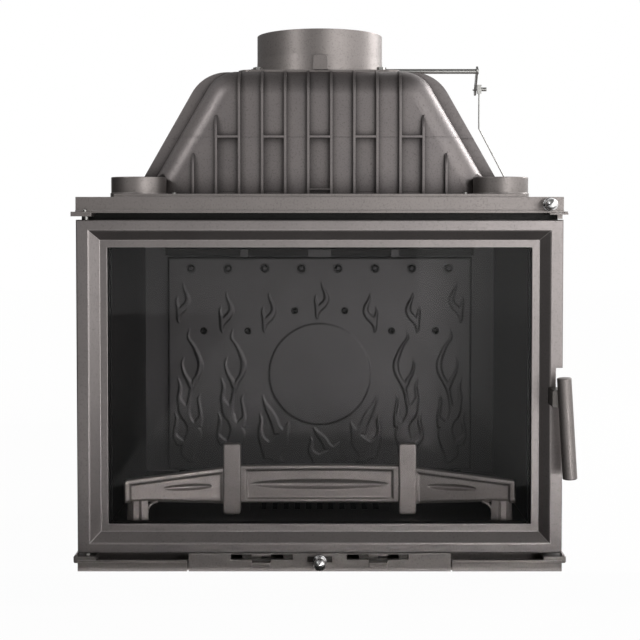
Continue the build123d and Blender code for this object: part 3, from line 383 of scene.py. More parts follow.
@dataclass(frozen=True)
class BareMetal:
    """Plated or drawn steel: a metal mirror dulled by fine marks along its length."""

    name: str
    colour: str
    roughness: float
    mark_mm: float = 0.8
    spread: float = 0.06

    def material(self) -> bpy.types.Material:
        """Build the node material.

        Returns:
            The finish as a material.
        """
        material, tree = new_material(self.name)
        place = add_node(tree, "ShaderNodeTexCoord").outputs["Object"]
        marks = add_node(tree, "ShaderNodeTexNoise", {"Vector": place, "Scale": 1 / (self.mark_mm * MM),
                                                      "Detail": 2.0})
        rough = add_node(tree, "ShaderNodeMapRange", {"Value": marks.outputs["Fac"], "From Min": 0.3,
                                                      "From Max": 0.7, "To Min": self.roughness,
                                                      "To Max": self.roughness + self.spread})
        shader = add_node(tree, "ShaderNodeBsdfPrincipled", {"Base Color": linear(self.colour),
                                                             "Metallic": 1.0,
                                                             "Roughness": rough.outputs["Result"]})
        add_node(tree, "ShaderNodeOutputMaterial", {"Surface": shader.outputs["BSDF"]})
        return material


@dataclass(frozen=True)
class CeramicGlass:
    """Heat-proof ceramic glass: clear, faintly tinted, with a weak mirror sheen and a trace of soot."""

    name: str = "ceramic_glass_clear"
    colour: str = "f5f4f4"
    film: str = "8d928f"
    film_share: float = 0.004   # thin soot film that veils the glass a little
    sheen_share: float = 0.15   # its anti-reflex coat leaves this much of the mirror sheen
    smear_mm: float = 120.0

    def material(self) -> bpy.types.Material:
        """Build the node material.

        Returns:
            The finish as a material.
        """
        material, tree = new_material(self.name)
        place = add_node(tree, "ShaderNodeTexCoord").outputs["Object"]
        smear = add_node(tree, "ShaderNodeTexNoise", {"Vector": place, "Scale": 1 / (self.smear_mm * MM),
                                                      "Detail": 3.0})
        share = add_node(tree, "ShaderNodeMapRange", {"Value": smear.outputs["Fac"], "From Min": 0.35,
                                                      "From Max": 0.7, "To Min": self.film_share * 0.4,
                                                      "To Max": self.film_share * 1.6})
        clear = add_node(tree, "ShaderNodeBsdfTransparent", {"Color": linear(self.colour)})
        film = add_node(tree, "ShaderNodeBsdfDiffuse", {"Color": linear(self.film)})
        dusty = add_node(tree, "ShaderNodeMixShader", {0: share.outputs["Result"], 1: clear.outputs["BSDF"],
                                                       2: film.outputs["BSDF"]})
        sheen = add_node(tree, "ShaderNodeBsdfAnisotropic", {"Color": (1, 1, 1, 1), "Roughness": 0.03})
        fresnel = add_node(tree, "ShaderNodeFresnel", {"IOR": 1.5})
        amount = add_node(tree, "ShaderNodeMath", {0: fresnel.outputs["Fac"], 1: self.sheen_share},
                          operation="MULTIPLY")
        both = add_node(tree, "ShaderNodeMixShader", {0: amount.outputs["Value"],
                                                      1: dusty.outputs["Shader"],
                                                      2: sheen.outputs["BSDF"]})
        add_node(tree, "ShaderNodeOutputMaterial", {"Surface": both.outputs["Shader"]})
        return material


class Finish(Enum):
    """The finishes of the insert's pieces."""

    OUTER = PaintedCasting("graphite_stove_paint_on_cast_iron", "8e8885", "817b79", "5d5856", 0.44, 0.92,
                           edge_highlight=0.35)
    # a darker copy of the outer paint, as painted shade on the hood, with more painted shade in its hollows
    HOOD = PaintedCasting("graphite_stove_paint_shaded_on_hood", "837d7b", "757070", "524d4c", 0.46, 0.92,
                          hollow_shade=0.75)
    DOOR = PaintedCasting("graphite_stove_paint_on_door", "908a88", "837d7c", "605b59", 0.37, 0.92,
                          2.2, 0.06, edge_highlight=0.7)
    INNER = PaintedCasting("sooted_stove_paint_on_cast_iron", "636263", "555454", "393838", 0.42, 0.9)
    # near-black lining paint: soot and painted shade inside the firebox and in the gap above the door
    WALLS = PaintedCasting("sooted_and_shaded_lining_iron", "323130", "272626", "171616", 0.45, 0.85)
    # a lighter copy of the outer paint: painted light on the fence, which stands recessed behind the glass
    FENCE = PaintedCasting("graphite_stove_paint_lightened_on_fence", "9a9592", "8d8885", "686361", 0.42, 0.9)
    REAR = PaintedCasting("graphite_stove_paint_sooted_and_shaded_inside", "8e8885", "817b79", "5d5856", 0.44, 0.92,
                          soot_and_shade_ahead_mm=REAR_MIDDLE)
    # near-black hearth paint: ash and painted shade on the fire's floor and grate
    HEARTH = PaintedCasting("ash_and_shade_darkened_iron", "2a2928", "232221", "191818", 0.5, 0.7)
    DARK = PaintedCasting("dark_grey_painted_steel", "55524f", "494644", "363433", 0.38, 0.85, 1.6, 0.05)
    ZINC = BareMetal("dull_zinc_plated_steel", "a5a4a1", 0.34)
    CHROME = BareMetal("polished_chrome_plate", "e4e3e3", 0.24, 3.0, 0.05)
    GLASS = CeramicGlass()
    ROPE = PaintedCasting("glass_fibre_rope_dark", "3a3938", "2e2d2c", "1f1e1e", 0.85, 0.0, 1.2, 0.3)


FINISHES: dict[Finish, bpy.types.Material] = {}


def finish_of(kind: Finish) -> bpy.types.Material:
    """Return a finish's material, built the first time that it is asked for."""
    if kind not in FINISHES:
        FINISHES[kind] = kind.value.material()
    return FINISHES[kind]


# ---- CAD pieces that keep their shape ------------------------------------------------

KEPT: dict[Finish, tuple[str, ...]] = {
    Finish.OUTER: (
        "base_casting", "air_panel", "bracket_bottom_left", "bracket_bottom_right", "bracket_top_left",
        "bracket_top_right", "side_wall_left", "side_wall_right", "wall_fins",
        "top_plate", "spigot_left", "spigot_right", "flue_collar", "collar_lugs", "shaft_bushes",
        "handle_grip"),
    Finish.HOOD: ("hood_lower", "hood_upper", "hood_ribs"),
    Finish.DOOR: ("door_frame",),
    Finish.REAR: ("rear_wall",),
    Finish.INNER: ("baffle_hooks",),
    # the front frame's near-black paint is painted shade in the gap above the door
    Finish.WALLS: ("front_frame", "side_liner_left", "side_liner_right", "grate_rests", "fireback_feet",
                   "baffle_plate", "baffle_rests", "ash_pan"),
    Finish.HEARTH: ("hearth_floor", "grate"),
    Finish.DARK: ("sill_plate", "air_slider", "rod_guide", "air_wash_duct", "damper_disc",
                  "damper_saddles", "glass_clips", "handle_hub"),
    Finish.ZINC: ("bracket_rivet", "hinge_pins", "latch_keeper", "tie_rods", "hood_studs", "collar_bolts",
                  "control_rod", "wire_clamp", "damper_shaft", "damper_crank", "damper_wire", "clip_screws",
                  "latch_shaft", "latch_tongue"),
    Finish.GLASS: ("glass_pane",),
}


def dress_kept_pieces() -> None:
    """Put each finish on the CAD pieces that keep their shape."""
    for kind, names in KEPT.items():
        for name in names:
            dress(name, finish_of(kind))
        log.info("%s on %d pieces", kind.name, len(names))


# ---- log fence -----------------------------------------------------------------------


@dataclass
class LogFence:
    """Casting that holds the logs: a bowed bar, two posts and two footed wings. Millimetres."""

    line_y: float = -131.0      # middle of the bar's and posts' thickness
    bar_half: float = 120.0
    bar_low: float = 81.5
    bar_high: float = 138.0     # at its ends; the top edge bows up
    bow: float = 1.5
    bar_border: tuple[float, float, float] = (12.0, 9.5, 9.0)       # raised border: ends, top, foot
    bar_flute: tuple[float, float, float] = (109.5, 103.0, 7.5)     # height, half length, half height
    post_x: float = 132.5
    post_half: float = 13.5
    post_span: tuple[float, float] = (64.4, 171.9)
    post_corner: float = 5.0
    post_round: float = 2.5     # rounding of its front and back edges
    post_thick: float = 16.0
    wing_start: float = 142.0
    wing_end: float = 292.0
    wing_turn: float = math.atan2(31.0, 146.0)
    wing_high: tuple[float, float] = (135.5, 122.5)     # upper edge at the post and at the end
    wing_low: tuple[float, float] = (79.5, 88.5)
    wing_low_run: float = 118.0                         # where the lower edge stops rising
    wing_droop: tuple[float, float] = (5.0, 6.0)        # fall of the upper corner, and its run
    wing_border: tuple[float, float, float] = (9.5, 11.0, 10.0)     # at the post, at the end, on top
    wing_flute: tuple[float, float, float] = (58.0, 36.0, 4.8)      # middle, half length, half height
    wing_foot_lip: tuple[float, float] = (1.5, 5.0)     # fall of the front towards the lower edge, its run
    foot_at: float = 131.0      # place along the wing about which the foot's plan grows
    foot_run: float = 29.0      # height over which the foot's plan grows to full size
    brace_centre: tuple[float, float] = (103.0, 72.0)   # of its quarter ellipse: along the wing, height
    brace_reach: tuple[float, float] = (15.5, 16.0)
    brace_half: tuple[float, float] = (2.6, 4.4)        # half width and half thickness
    panel: float = 2.4          # recessed panels ahead of the casting's middle
    back: float = 5.0           # flat back behind it
    edge_round: float = 3.0     # width of the rounded edge, and the front's fall there
    edge_fall: float = 2.2
    frame_rise: float = 2.4     # raised border round each recessed panel
    frame_slope: float = 4.0
    flute_depth: float = 4.2

    def border(self, beyond: Array) -> Array:
        """Rise of the raised border: a soft slope over the first millimetres beyond the panel's edge."""
        return self.frame_rise * smooth_step(beyond / self.frame_slope)

    def eased(self, edge: Array) -> Array:
        """Fall of the front at a rounded edge: fall (1 - sqrt(t (2 - t))), where t is 0 at the edge."""
        share = np.clip(edge / self.edge_round, 0, 1)
        return self.edge_fall * (1 - np.sqrt(share * (2 - share)))

    def spindle(self, along: Array, up: Array, half_length: float, half_height: float) -> Array:
        """Depth of a spindle-shaped flute: 1 - (up / h)^2, where h narrows to nothing at both ends.

        Args:
            along: Distance along the flute from its middle.
            up: Height above its axis.
            half_length: Half the flute's length.
            half_height: Half its height in the middle.

        Returns:
            Depth below the panel.
        """
        height = half_height * np.sqrt(np.clip(1 - (along / half_length) ** 2, 1e-4, 1))
        hollow = np.clip(1 - (up / height) ** 2, 0, 1)
        return self.flute_depth * hollow * np.clip(height / half_height, 0, 1)

    def plate(self, along: Array, low: Array, high: Array, rise: Array) -> Array:
        """Close a relief front and a flat back into sections, one at each place along the plate.

        Args:
            along: Distance along the plate, one value a section.
            low: Height of the lower edge at each section.
            high: Height of the upper edge at each section.
            rise: Front surface ahead of the plate's middle, as (section, height) values.

        Returns:
            Array of (section, point, 3): along, ahead (negative to the front) and up, in millimetres.
        """
        share = np.linspace(0, 1, rise.shape[1])
        up = low[:, None] + (high - low)[:, None] * share
        front = np.stack([np.repeat(along[:, None], rise.shape[1], 1), -rise, up], -1)
        tail_share = np.array([1.0, 0.98, 0.02, 0.0])
        tail_depth = np.array([self.back - 2, self.back, self.back, self.back - 2])
        tail_up = low[:, None] + (high - low)[:, None] * tail_share
        tail = np.stack([np.repeat(along[:, None], 4, 1), np.repeat(tail_depth[None], len(along), 0),
                         tail_up], -1)
        return np.concatenate([front, tail], 1)

    def bar(self) -> bpy.types.Object:
        """Make the middle bar: a fluted panel in a raised border, its top bowed by 1 - (x / half)^2."""
        along = np.linspace(-self.bar_half, self.bar_half, 240)
        high = self.bar_high + self.bow * (1 - (along / self.bar_half) ** 2)
        low = np.full_like(along, self.bar_low)
        share = np.linspace(0, 1, 64)
        up = low[:, None] + (high - low)[:, None] * share
        across = np.abs(along)[:, None]
        at_ends, at_top, at_foot = self.bar_border
        beyond = largest(across - (self.bar_half - at_ends), up - (high[:, None] - at_top),
                         self.bar_low + at_foot - up)
        lip = self.eased(np.minimum(high[:, None] - up, up - low[:, None]))
        flute_up, flute_long, flute_high = self.bar_flute
        flute = self.spindle(along[:, None], up - flute_up, flute_long, flute_high)
        rise = self.panel + self.border(beyond) - lip - flute
        sections = self.plate(along, low, high, rise)
        return swept("fence_bar", (sections + (0, self.line_y, 0)) * MM)

    def post(self, side: int) -> bpy.types.Object:
        """Make a post: a rounded rectangle inset by r (1 - sin a) where its depth grows by r cos a.

        Args:
            side: -1 for the left post, 1 for the right one.

        Returns:
            The post.
        """
        half_high = (self.post_span[1] - self.post_span[0]) / 2
        outline, out = rounded_outline(self.post_half, half_high, self.post_corner)
        turn = np.linspace(0, math.pi / 2, 6)
        inset = self.post_round * (1 - np.sin(turn))
        half_thick = self.post_thick / 2
        depth = half_thick - self.post_round + self.post_round * np.cos(turn)
        within = [self.post_corner - 0.5]
        inset = np.concatenate([within, inset, inset[::-1], within])
        depth = np.concatenate([[-half_thick], -depth, depth[::-1], [half_thick]])
        flat = outline[None] - out[None] * inset[:, None, None]
        middle = sum(self.post_span) / 2
        points = np.stack([flat[..., 0] + side * self.post_x,
                           np.repeat(depth[:, None], len(outline), 1) + self.line_y,
                           flat[..., 1] + middle], -1)
        return swept(sided("fence_post", side), points * MM)

    def to_wing(self, local: Array, side: int) -> Array:
        """Turn (along, ahead, up) of a wing into the object's frame.

        Args:
            local: Points in the wing's own frame.
            side: -1 for the left wing, 1 for the right one.

        Returns:
            Points in metres.
        """
        cosine, sine = math.cos(self.wing_turn), math.sin(self.wing_turn)
        along, ahead, up = local[..., 0], local[..., 1], local[..., 2]
        x = self.wing_start + along * cosine + ahead * sine
        y = self.line_y - along * sine + ahead * cosine
        return np.stack([side * x, y, up], -1) * MM

    def wing(self, side: int) -> bpy.types.Object:
        """Make a wing: a panel with a short flute, in a border that runs on down its end.

        The upper edge falls evenly, and over its last few millimetres by the cube of the way gone.

        Args:
            side: -1 for the left wing, 1 for the right one.

        Returns:
            The wing.
        """
        length = (self.wing_end - self.wing_start) / math.cos(self.wing_turn) - 1.0
        along = np.linspace(0, length, 150)
        (start_high, end_high), (start_low, end_low) = self.wing_high, self.wing_low
        droop, droop_run = self.wing_droop
        high = start_high - (start_high - end_high) * along / length
        high = high - droop * np.clip((along - length + droop_run) / droop_run, 0, 1) ** 3
        low = start_low + (end_low - start_low) * np.clip(along / self.wing_low_run, 0, 1)
        share = np.linspace(0, 1, 56)
        up = low[:, None] + (high - low)[:, None] * share
        at_post, at_end, at_top = self.wing_border
        beyond = largest(along[:, None] - (length - at_end), up - (high[:, None] - at_top),
                         at_post - along[:, None])
        lip = self.eased(np.minimum(high[:, None] - up, length - along[:, None]))
        lip_fall, lip_run = self.wing_foot_lip
        foot_lip = lip_fall * smooth_step(1 - (up - low[:, None]) / lip_run)
        flute_at, flute_long, flute_high = self.wing_flute
        flute = self.spindle(along[:, None] - flute_at, up - (high + low)[:, None] / 2,
                             flute_long, flute_high)
        rise = self.panel + self.border(beyond) - lip - foot_lip - flute
        sections = self.plate(along, low, high, rise)
        return swept(sided("fence_wing", side), self.to_wing(sections, side))

    def foot(self, side: int) -> bpy.types.Object:
        """Make a foot: a fluted stub whose plan grows evenly to full size on its way down.

        Args:
            side: -1 for the left foot, 1 for the right one.

        Returns:
            The foot.
        """
        plan = np.array([(116.5, -4.6), (127.0, -5.4), (129.3, -3.4), (131.0, -5.6), (139.0, -4.8),
                         (148.0, 1.5), (148.0, 4.6), (116.5, 4.6)])
        height = np.array([91.0, 89.0, 84.0, 76.0, 68.0, 62.2])
        spread = (height[0] - height)[:, None] / self.foot_run
        along = self.foot_at + (plan[None, :, 0] - self.foot_at) * (0.93 + 0.07 * spread)
        ahead = plan[None, :, 1] * (0.9 + 0.1 * spread)
        local = np.stack([along, ahead, np.repeat(height[:, None], len(plan), 1)], -1)
        thing = swept(sided("fence_foot", side), self.to_wing(local, side))
        thing.data.polygons.foreach_set("use_smooth", [False] * len(thing.data.polygons))
        return thing

    def brace(self, side: int) -> bpy.types.Object:
        """Make the curved brace: an oval bar along a quarter ellipse from the wing down to the foot.

        Args:
            side: -1 for the left brace, 1 for the right one.

        Returns:
            The brace.
        """
        turn = np.linspace(0, math.pi / 2, 18)[:, None]
        around = np.linspace(0, 2 * math.pi, 14, endpoint=False)[None]
        out_along, out_up = np.sin(turn) * 0.62, np.cos(turn)
        norm = np.hypot(out_along, out_up)
        half_wide, half_thick = self.brace_half
        across = half_wide * np.cos(around)
        along = self.brace_centre[0] + self.brace_reach[0] * np.sin(turn) + across * out_along / norm
        up = self.brace_centre[1] + self.brace_reach[1] * np.cos(turn) + across * out_up / norm
        ahead = half_thick * np.sin(around) + 0 * turn
        return swept(sided("fence_brace", side), self.to_wing(np.stack([along, ahead, up], -1), side))

    def build(self) -> None:
        """Make and dress the whole fence."""
        paint = finish_of(Finish.FENCE)
        pieces = [self.bar()]
        for side in (-1, 1):
            pieces += [self.post(side), self.wing(side), self.foot(side), self.brace(side)]
        for piece in pieces:
            finish_piece(piece, paint, "fence", ["log_fence"])


# ---- fireback ------------------------------------------------------------------------


# Tongues of each kind of flame on the left half, as rows of (height, x, half width) in millimetres from
# the flame's foot. A flame is the union of its tongues.
FLAMES: dict[str, tuple[tuple[tuple[float, float, float], ...], ...]] = {
    "tall": (
        ((0, 3, 5), (12, -3, 11), (26, 0, 14.5), (44, 6, 14), (58, 7, 11.5), (73, -2, 7.5), (87, -6, 6.3),
         (102, -2, 3.6), (119, 1, 2.8), (137, 6.5, 4.6), (154, 16, 4.6), (172, 19, 4.4), (189, 14, 3.8),
         (204, 7, 2.7), (218, -2, 1.8), (233, 0.5, 0.2)),
        ((131, 2.5, 4), (142, -1.5, 4.1), (153, -8, 2.9), (163, -11.5, 2.1), (173, -13, 1.5),
         (183, -10, 0.2)),
        ((67, 1.5, 6), (78, -7.5, 7.3), (90, -10, 9.5), (99, -13, 7.3), (113, -18.5, 3.5), (131, -16, 2.6),
         (148, -20.5, 0.2)),
        ((29, -9, 14), (41, -22, 6.3), (50, -26, 3), (64, -23.5, 3.2), (76, -22.5, 2.1), (87, -26, 0.2)),
        ((61, 10, 11), (73, 16.5, 6.3), (81, 19.5, 2.9), (96, 17.5, 2.1), (110, 15.5, 1.8),
         (119, 19, 0.2))),
    "small": (
        ((0, -6.5, 1), (6.5, -7.5, 2.4), (15, -6, 4.7), (25, 0.5, 7.5), (37, 8.5, 4.7), (49, 7.5, 3.5),
         (60, 2.5, 1.8), (72, 0, 0.2)),
        ((15, -7, 3.5), (25, -8, 3.5), (37, -10.5, 2.1), (46, -9.5, 0.2))),
    "low": (
        ((49, 16, 12), (64, 7.5, 7.3), (78, 2, 7.3), (90, -4, 6.3), (105, -12, 2.4), (118, -15.5, 0.2)),
        ((0, 12, 8), (12, 2, 14), (29, 8, 20), (46, 19, 10), (61, 26.5, 4.2), (71, 30, 0.2)),
        ((6, -10, 4), (17, -7, 10), (32, -11, 10), (44, -18.5, 5.2), (58, -20, 3.5), (73, -18, 2.4),
         (86, -20.5, 0.2))),
}


@dataclass
class Fireback:
    """Plate at the back of the fire with a low relief of flames round a bare round field. Millimetres."""

    half: float = 264.5
    span: tuple[float, float] = (71.2, 442.1)
    face_y: float = 145.0
    back_y: float = 154.0
    pitch: float = 1.5
    bosses: int = 8
    boss_z: float = 423.2
    boss_pitch: float = 64.0
    ring_z: float = 238.5
    ring_r: float = 89.4
    holes: tuple[tuple[float, float], ...] = ((202.0, 314.0), (125.0, 314.0), (43.5, 349.0))
    ring_clear: float = 5.0     # flames stop this far outside the round field
    field_rise: float = 1.3
    field_slope: float = 2.4
    flame_rise: float = 1.9
    flame_slope: float = 2.2
    rim_fall: float = 1.6       # the plate's eased rim, and its run
    rim_run: float = 2.5
    boss_pit: float = 6.8       # radius of the plate's pits under the bosses, and their depth
    pit_depth: float = 6.3
    hole_pit: float = 4.7       # radius of the pits under the air holes, and their greater depth
    hole_depth: float = 7.1
    # flames: (kind, x, foot height, share of full height), drawn on the left and mirrored on the right
    flames: tuple[tuple[str, float, float, float], ...] = (
        ("small", -238.5, 328.0, 1.0), ("small", -163.0, 311.0, 1.0), ("small", -89.0, 311.0, 0.98),
        ("tall", -227.0, 84.5, 1.0), ("tall", -151.5, 84.5, 1.0), ("low", -84.0, 84.5, 1.0))
    middle_flames: tuple[tuple[str, float, float, float], ...] = (
        ("small", 3.0, 334.0, 0.92), ("low", 4.0, 76.0, 0.62))

    def boss_line(self) -> Array:
        """Space the bosses evenly about the middle: x = (i - (n - 1) / 2) pitch."""
        return (np.arange(self.bosses) - (self.bosses - 1) / 2) * self.boss_pitch

    @staticmethod
    def tongue(x: Array, z: Array, rows: Array) -> Array:
        """Measure how far inside one tongue of flame each point lies.

        The middle line and the half width follow Catmull-Rom curves through the rows; the distance is
        (half width - |x - middle|) / sqrt(1 + slope^2), where slope is the middle line's lean.

        Args:
            x: Points' x.
            z: Points' height.
            rows: Rows of (height, x of the middle line, half width), rising.

        Returns:
            Distance inside the edge, negative outside.
        """
        steps = 8
        share = (np.arange(steps) / steps)[None, :, None]
        before, after = 2 * rows[0] - rows[1], 2 * rows[-1] - rows[-2]
        padded = np.concatenate([[before], rows, [after]])[:, None]
        a, b, c, d = (padded[k:len(rows) - 1 + k] for k in range(4))
        bend = 2 * a - 5 * b + 4 * c - d + share * (3 * (b - c) + d - a)
        curve = b + 0.5 * share * (c - a + share * bend)
        curve = np.concatenate([curve.reshape(-1, 3), rows[-1:]])
        middle = np.interp(z, curve[:, 0], curve[:, 1])
        half = np.interp(z, curve[:, 0], np.maximum(curve[:, 2], 0))
        slope = np.interp(z, curve[:, 0], np.gradient(curve[:, 1], curve[:, 0]))
        edge = (half - np.abs(x - middle)) / np.sqrt(1 + slope ** 2)
        beyond = np.maximum(rows[0, 0] - z, z - rows[-1, 0])
        return np.where(beyond > 0, -np.hypot(beyond, np.minimum(edge, 0)), edge)

    def relief(self, x: Array, z: Array) -> Array:
        """Height of the relief: flames and the round field, less the pits of bosses and holes.

        A flame or the field rises by smooth_step(distance inside its edge / slope).

        Args:
            x: Points' x.
            z: Points' height.

        Returns:
            Height, negative in the pits.
        """
        depth = np.full(x.shape, -50.0)
        places = [(flame, 1) for flame in self.flames + self.middle_flames]
        places += [(flame, -1) for flame in self.flames]
        for (kind, foot_x, foot_z, share), lean in places:
            for rows in FLAMES[kind]:
                scaled = np.array(rows) * (share, lean, 1) + (foot_z, lean * foot_x, 0)
                depth = np.maximum(depth, self.tongue(x, z, scaled))
        from_ring = np.hypot(x, z - self.ring_z)
        depth = np.minimum(depth, from_ring - self.ring_r - self.ring_clear)
        height = self.flame_rise * smooth_step(depth / self.flame_slope + 0.3)
        height = height + self.field_rise * smooth_step((self.ring_r - from_ring) / self.field_slope)
        for boss_x in self.boss_line():
            away = np.hypot(x - boss_x, z - self.boss_z)
            height = np.where(away < self.boss_pit, -self.pit_depth, height)
        for side in (-1, 1):
            for distance, hole_z in self.holes:
                away = np.hypot(x - side * distance, z - hole_z)
                height = np.where(away < self.hole_pit, -self.hole_depth, height)
        rim = -largest(np.abs(x) - self.half, self.span[0] - z, z - self.span[1])
        return height - self.rim_fall * smooth_step(1 - rim / self.rim_run)

    def fittings(self) -> None:
        """Turn the bosses, each a rivet head in a groove, and the air holes, from (radius, depth) rows."""
        boss = np.array([(0, -2.6), (2.4, -2.4), (4.0, -1.6), (4.9, -0.2), (5.0, 5.0), (6.4, 5.0),
                         (6.5, -0.5), (8.4, -0.6), (8.8, -0.2), (8.8, 0.6), (6.6, 0.6), (6.6, 6.0),
                         (0, 6.0)])
        for i, boss_x in enumerate(self.boss_line()):
            centre = np.array([boss_x, self.face_y, self.boss_z])
            piece = revolved(f"fireback_boss_{i + 1}", boss * MM, centre * MM, "y", 40)
            finish_piece(piece, finish_of(Finish.INNER), "root", ["fireback"])
        cup = np.array([(0, 5.6), (3.7, 5.6), (3.9, -0.2), (6.2, -0.2), (6.4, 0.1), (6.4, 0.6), (4.6, 0.6),
                        (4.6, 6.6), (0, 6.6)])
        for i, (distance, hole_z) in enumerate(self.holes):
            for side in (-1, 1):
                centre = np.array([side * distance, self.face_y, hole_z])
                piece = revolved(f"fireback_hole_{2 * i + (side > 0) + 1}", cup * MM, centre * MM, "y", 32)
                # the cups' near-black paint is painted shade, for the dark depth of the air holes
                finish_piece(piece, finish_of(Finish.WALLS), "root", ["fireback"])

    def build(self) -> None:
        """Make and dress the plate: a relief front over a grid, closed by a flat back."""
        columns = int(2 * self.half / self.pitch)
        rows = int((self.span[1] - self.span[0]) / self.pitch)
        x = np.linspace(-self.half, self.half, columns)[:, None] + np.zeros((1, rows))
        z = np.linspace(self.span[0], self.span[1], rows)[None] + np.zeros((columns, 1))
        front = np.stack([x, self.face_y - self.relief(x, z), z], -1)
        tail_z = np.array([self.span[1], self.span[0]])[None] + np.zeros((columns, 1))
        tail = np.stack([x[:, :2], np.full((columns, 2), self.back_y), tail_z], -1)
        plate = swept("fireback_plate", np.concatenate([front, tail], 1) * MM)
        finish_piece(plate, finish_of(Finish.INNER), "root", ["fireback"])
        self.fittings()


# ---- small turned and wound pieces ---------------------------------------------------


@dataclass
class PullKnob:
    """Chromed ball with a neck and a thin guard ring on its stem. Millimetres, along Y."""

    name: str
    node: str
    body: str
    x: float
    z: float
    ball_y: float
    stem_end_y: float
    stem_r: float
    ball_r: float = 9.0
    ring_r: float = 10.0
    ring_y: float = 12.0        # from the ball's middle

    def build(self) -> None:
        """Turn the profile: ball, cove, ring with a round rim, stem."""
        turn = np.linspace(-math.pi / 2, math.radians(58), 40)
        ball = np.stack([self.ball_r * np.cos(turn), self.ball_r * np.sin(turn)], -1)
        ball[0, 0] = 0.0
        cove = np.array([(4.6, 8.2), (4.4, 9.2), (4.7, 10.4), (6.0, 10.9), (9.2, 11.0)])
        rim_turn = np.linspace(-math.pi / 2, math.pi / 2, 9)
        rim = np.stack([self.ring_r - 1.0 + np.cos(rim_turn), self.ring_y + np.sin(rim_turn)], -1)
        end = self.stem_end_y - self.ball_y
        stem = np.array([(self.stem_r + 1.2, 13.0), (self.stem_r + 0.2, 13.6), (self.stem_r, 14.4),
                         (self.stem_r, end), (0.0, end)])
        profile = np.concatenate([ball, cove, rim, stem])
        thing = revolved(self.name, profile * MM, np.array([self.x, self.ball_y, self.z]) * MM, "y", 72)
        finish_piece(thing, finish_of(Finish.CHROME), self.body, [self.node])


@dataclass
class RopeSeal:
    """Glass-fibre rope pressed into the door's groove all round the glass. Millimetres."""

    node: str = "door_seal"
    width: float = 8.8
    strands: int = 6
    lay: float = 26.0           # length of one turn of the strands
    corner: float = 9.0         # radius of its middle line at the groove's corners
    clear: float = 0.2

    def build(self) -> None:
        """Sweep r = R (0.9 + 0.1 |cos(phase)|) along a rounded rectangle; the strands turn once a lay."""
        low, high = (np.array(corner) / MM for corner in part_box(self.node))
        radius = self.width / 2
        middle = (low + high) / 2
        half_x = (high[0] - low[0]) / 2 - radius - self.clear
        half_z = (high[2] - low[2]) / 2 - radius - self.clear
        corners, _ = rounded_outline(half_x, half_z, self.corner, 10)
        closed = np.concatenate([corners, corners[:1]])
        run = np.concatenate([[0.0], np.cumsum(np.hypot(*np.diff(closed, axis=0).T))])
        steps = int(run[-1] / 2.0)
        place = np.linspace(0, run[-1], steps, endpoint=False)
        path = np.stack([np.interp(place, run, closed[:, k]) for k in (0, 1)], -1)
        ahead = np.roll(path, -1, 0) - np.roll(path, 1, 0)
        ahead = ahead / np.hypot(ahead[:, 0], ahead[:, 1])[:, None]
        side = np.stack([ahead[:, 1], -ahead[:, 0]], -1)
        turns = round(run[-1] / self.lay)
        around = np.linspace(0, 2 * math.pi, 30, endpoint=False)[None]
        phase = self.strands / 2 * around + math.pi * turns * (place / run[-1])[:, None] * 2
        size = radius * (0.90 + 0.10 * np.abs(np.cos(phase)))
        across, deep = size * np.cos(around), size * np.sin(around)
        points = np.stack([middle[0] + path[:, :1] + side[:, :1] * across, middle[1] + deep,
                           middle[2] + path[:, 1:] + side[:, 1:] * across], -1)
        thing = swept("rope_seal", points * MM, caps=False)
        finish_piece(thing, finish_of(Finish.ROPE), "door", [self.node])


# ---- studio --------------------------------------------------------------------------


@dataclass(frozen=True)
class Softbox:
    """One rectangular lamp that looks at the insert."""

    name: str
    place: tuple[float, float, float]
    aim: tuple[float, float, float]
    size: tuple[float, float]
    power: float
    spread: float = 180.0       # degrees, narrower behind a grid

    def build(self) -> None:
        """Add the lamp to the scene."""
        lamp = bpy.data.lights.new(self.name, "AREA")
        lamp.shape = "RECTANGLE"
        lamp.size, lamp.size_y = self.size
        lamp.energy = self.power
        lamp.spread = math.radians(self.spread)
        thing = bpy.data.objects.new(self.name, lamp)
        bpy.context.scene.collection.objects.link(thing)
        thing.location = self.place
        heading = np.asarray(self.aim) - np.asarray(self.place)
        thing.rotation_euler = (math.acos(-heading[2] / np.linalg.norm(heading)), 0,
                                math.atan2(heading[1], heading[0]) - math.pi / 2)


@dataclass(frozen=True)
class Card:
    """Flat studio panel, bright or dark, unseen by the camera; its two corners share one coordinate."""

    name: str
    low: tuple[float, float, float]
    high: tuple[float, float, float]
    level: float
    shadows: bool = True

    def build(self) -> None:
        """Add the card to the studio."""
        low, high = np.array(self.low), np.array(self.high)
        first, second = np.eye(3)[high > low] * (high - low)
        corners = low + np.array([np.zeros(3), first, first + second, second])
        thing = mesh_object(self.name, corners, [(0, 1, 2, 3)], smooth=False)
        material, tree = new_material(self.name + "_cloth")
        glow = add_node(tree, "ShaderNodeEmission", {"Color": (1, 1, 1, 1), "Strength": self.level})
        add_node(tree, "ShaderNodeOutputMaterial", {"Surface": glow.outputs["Emission"]})
        thing.data.materials.append(material)
        thing.visible_camera = False
        thing.visible_transmission = False
        thing.visible_shadow = self.shadows


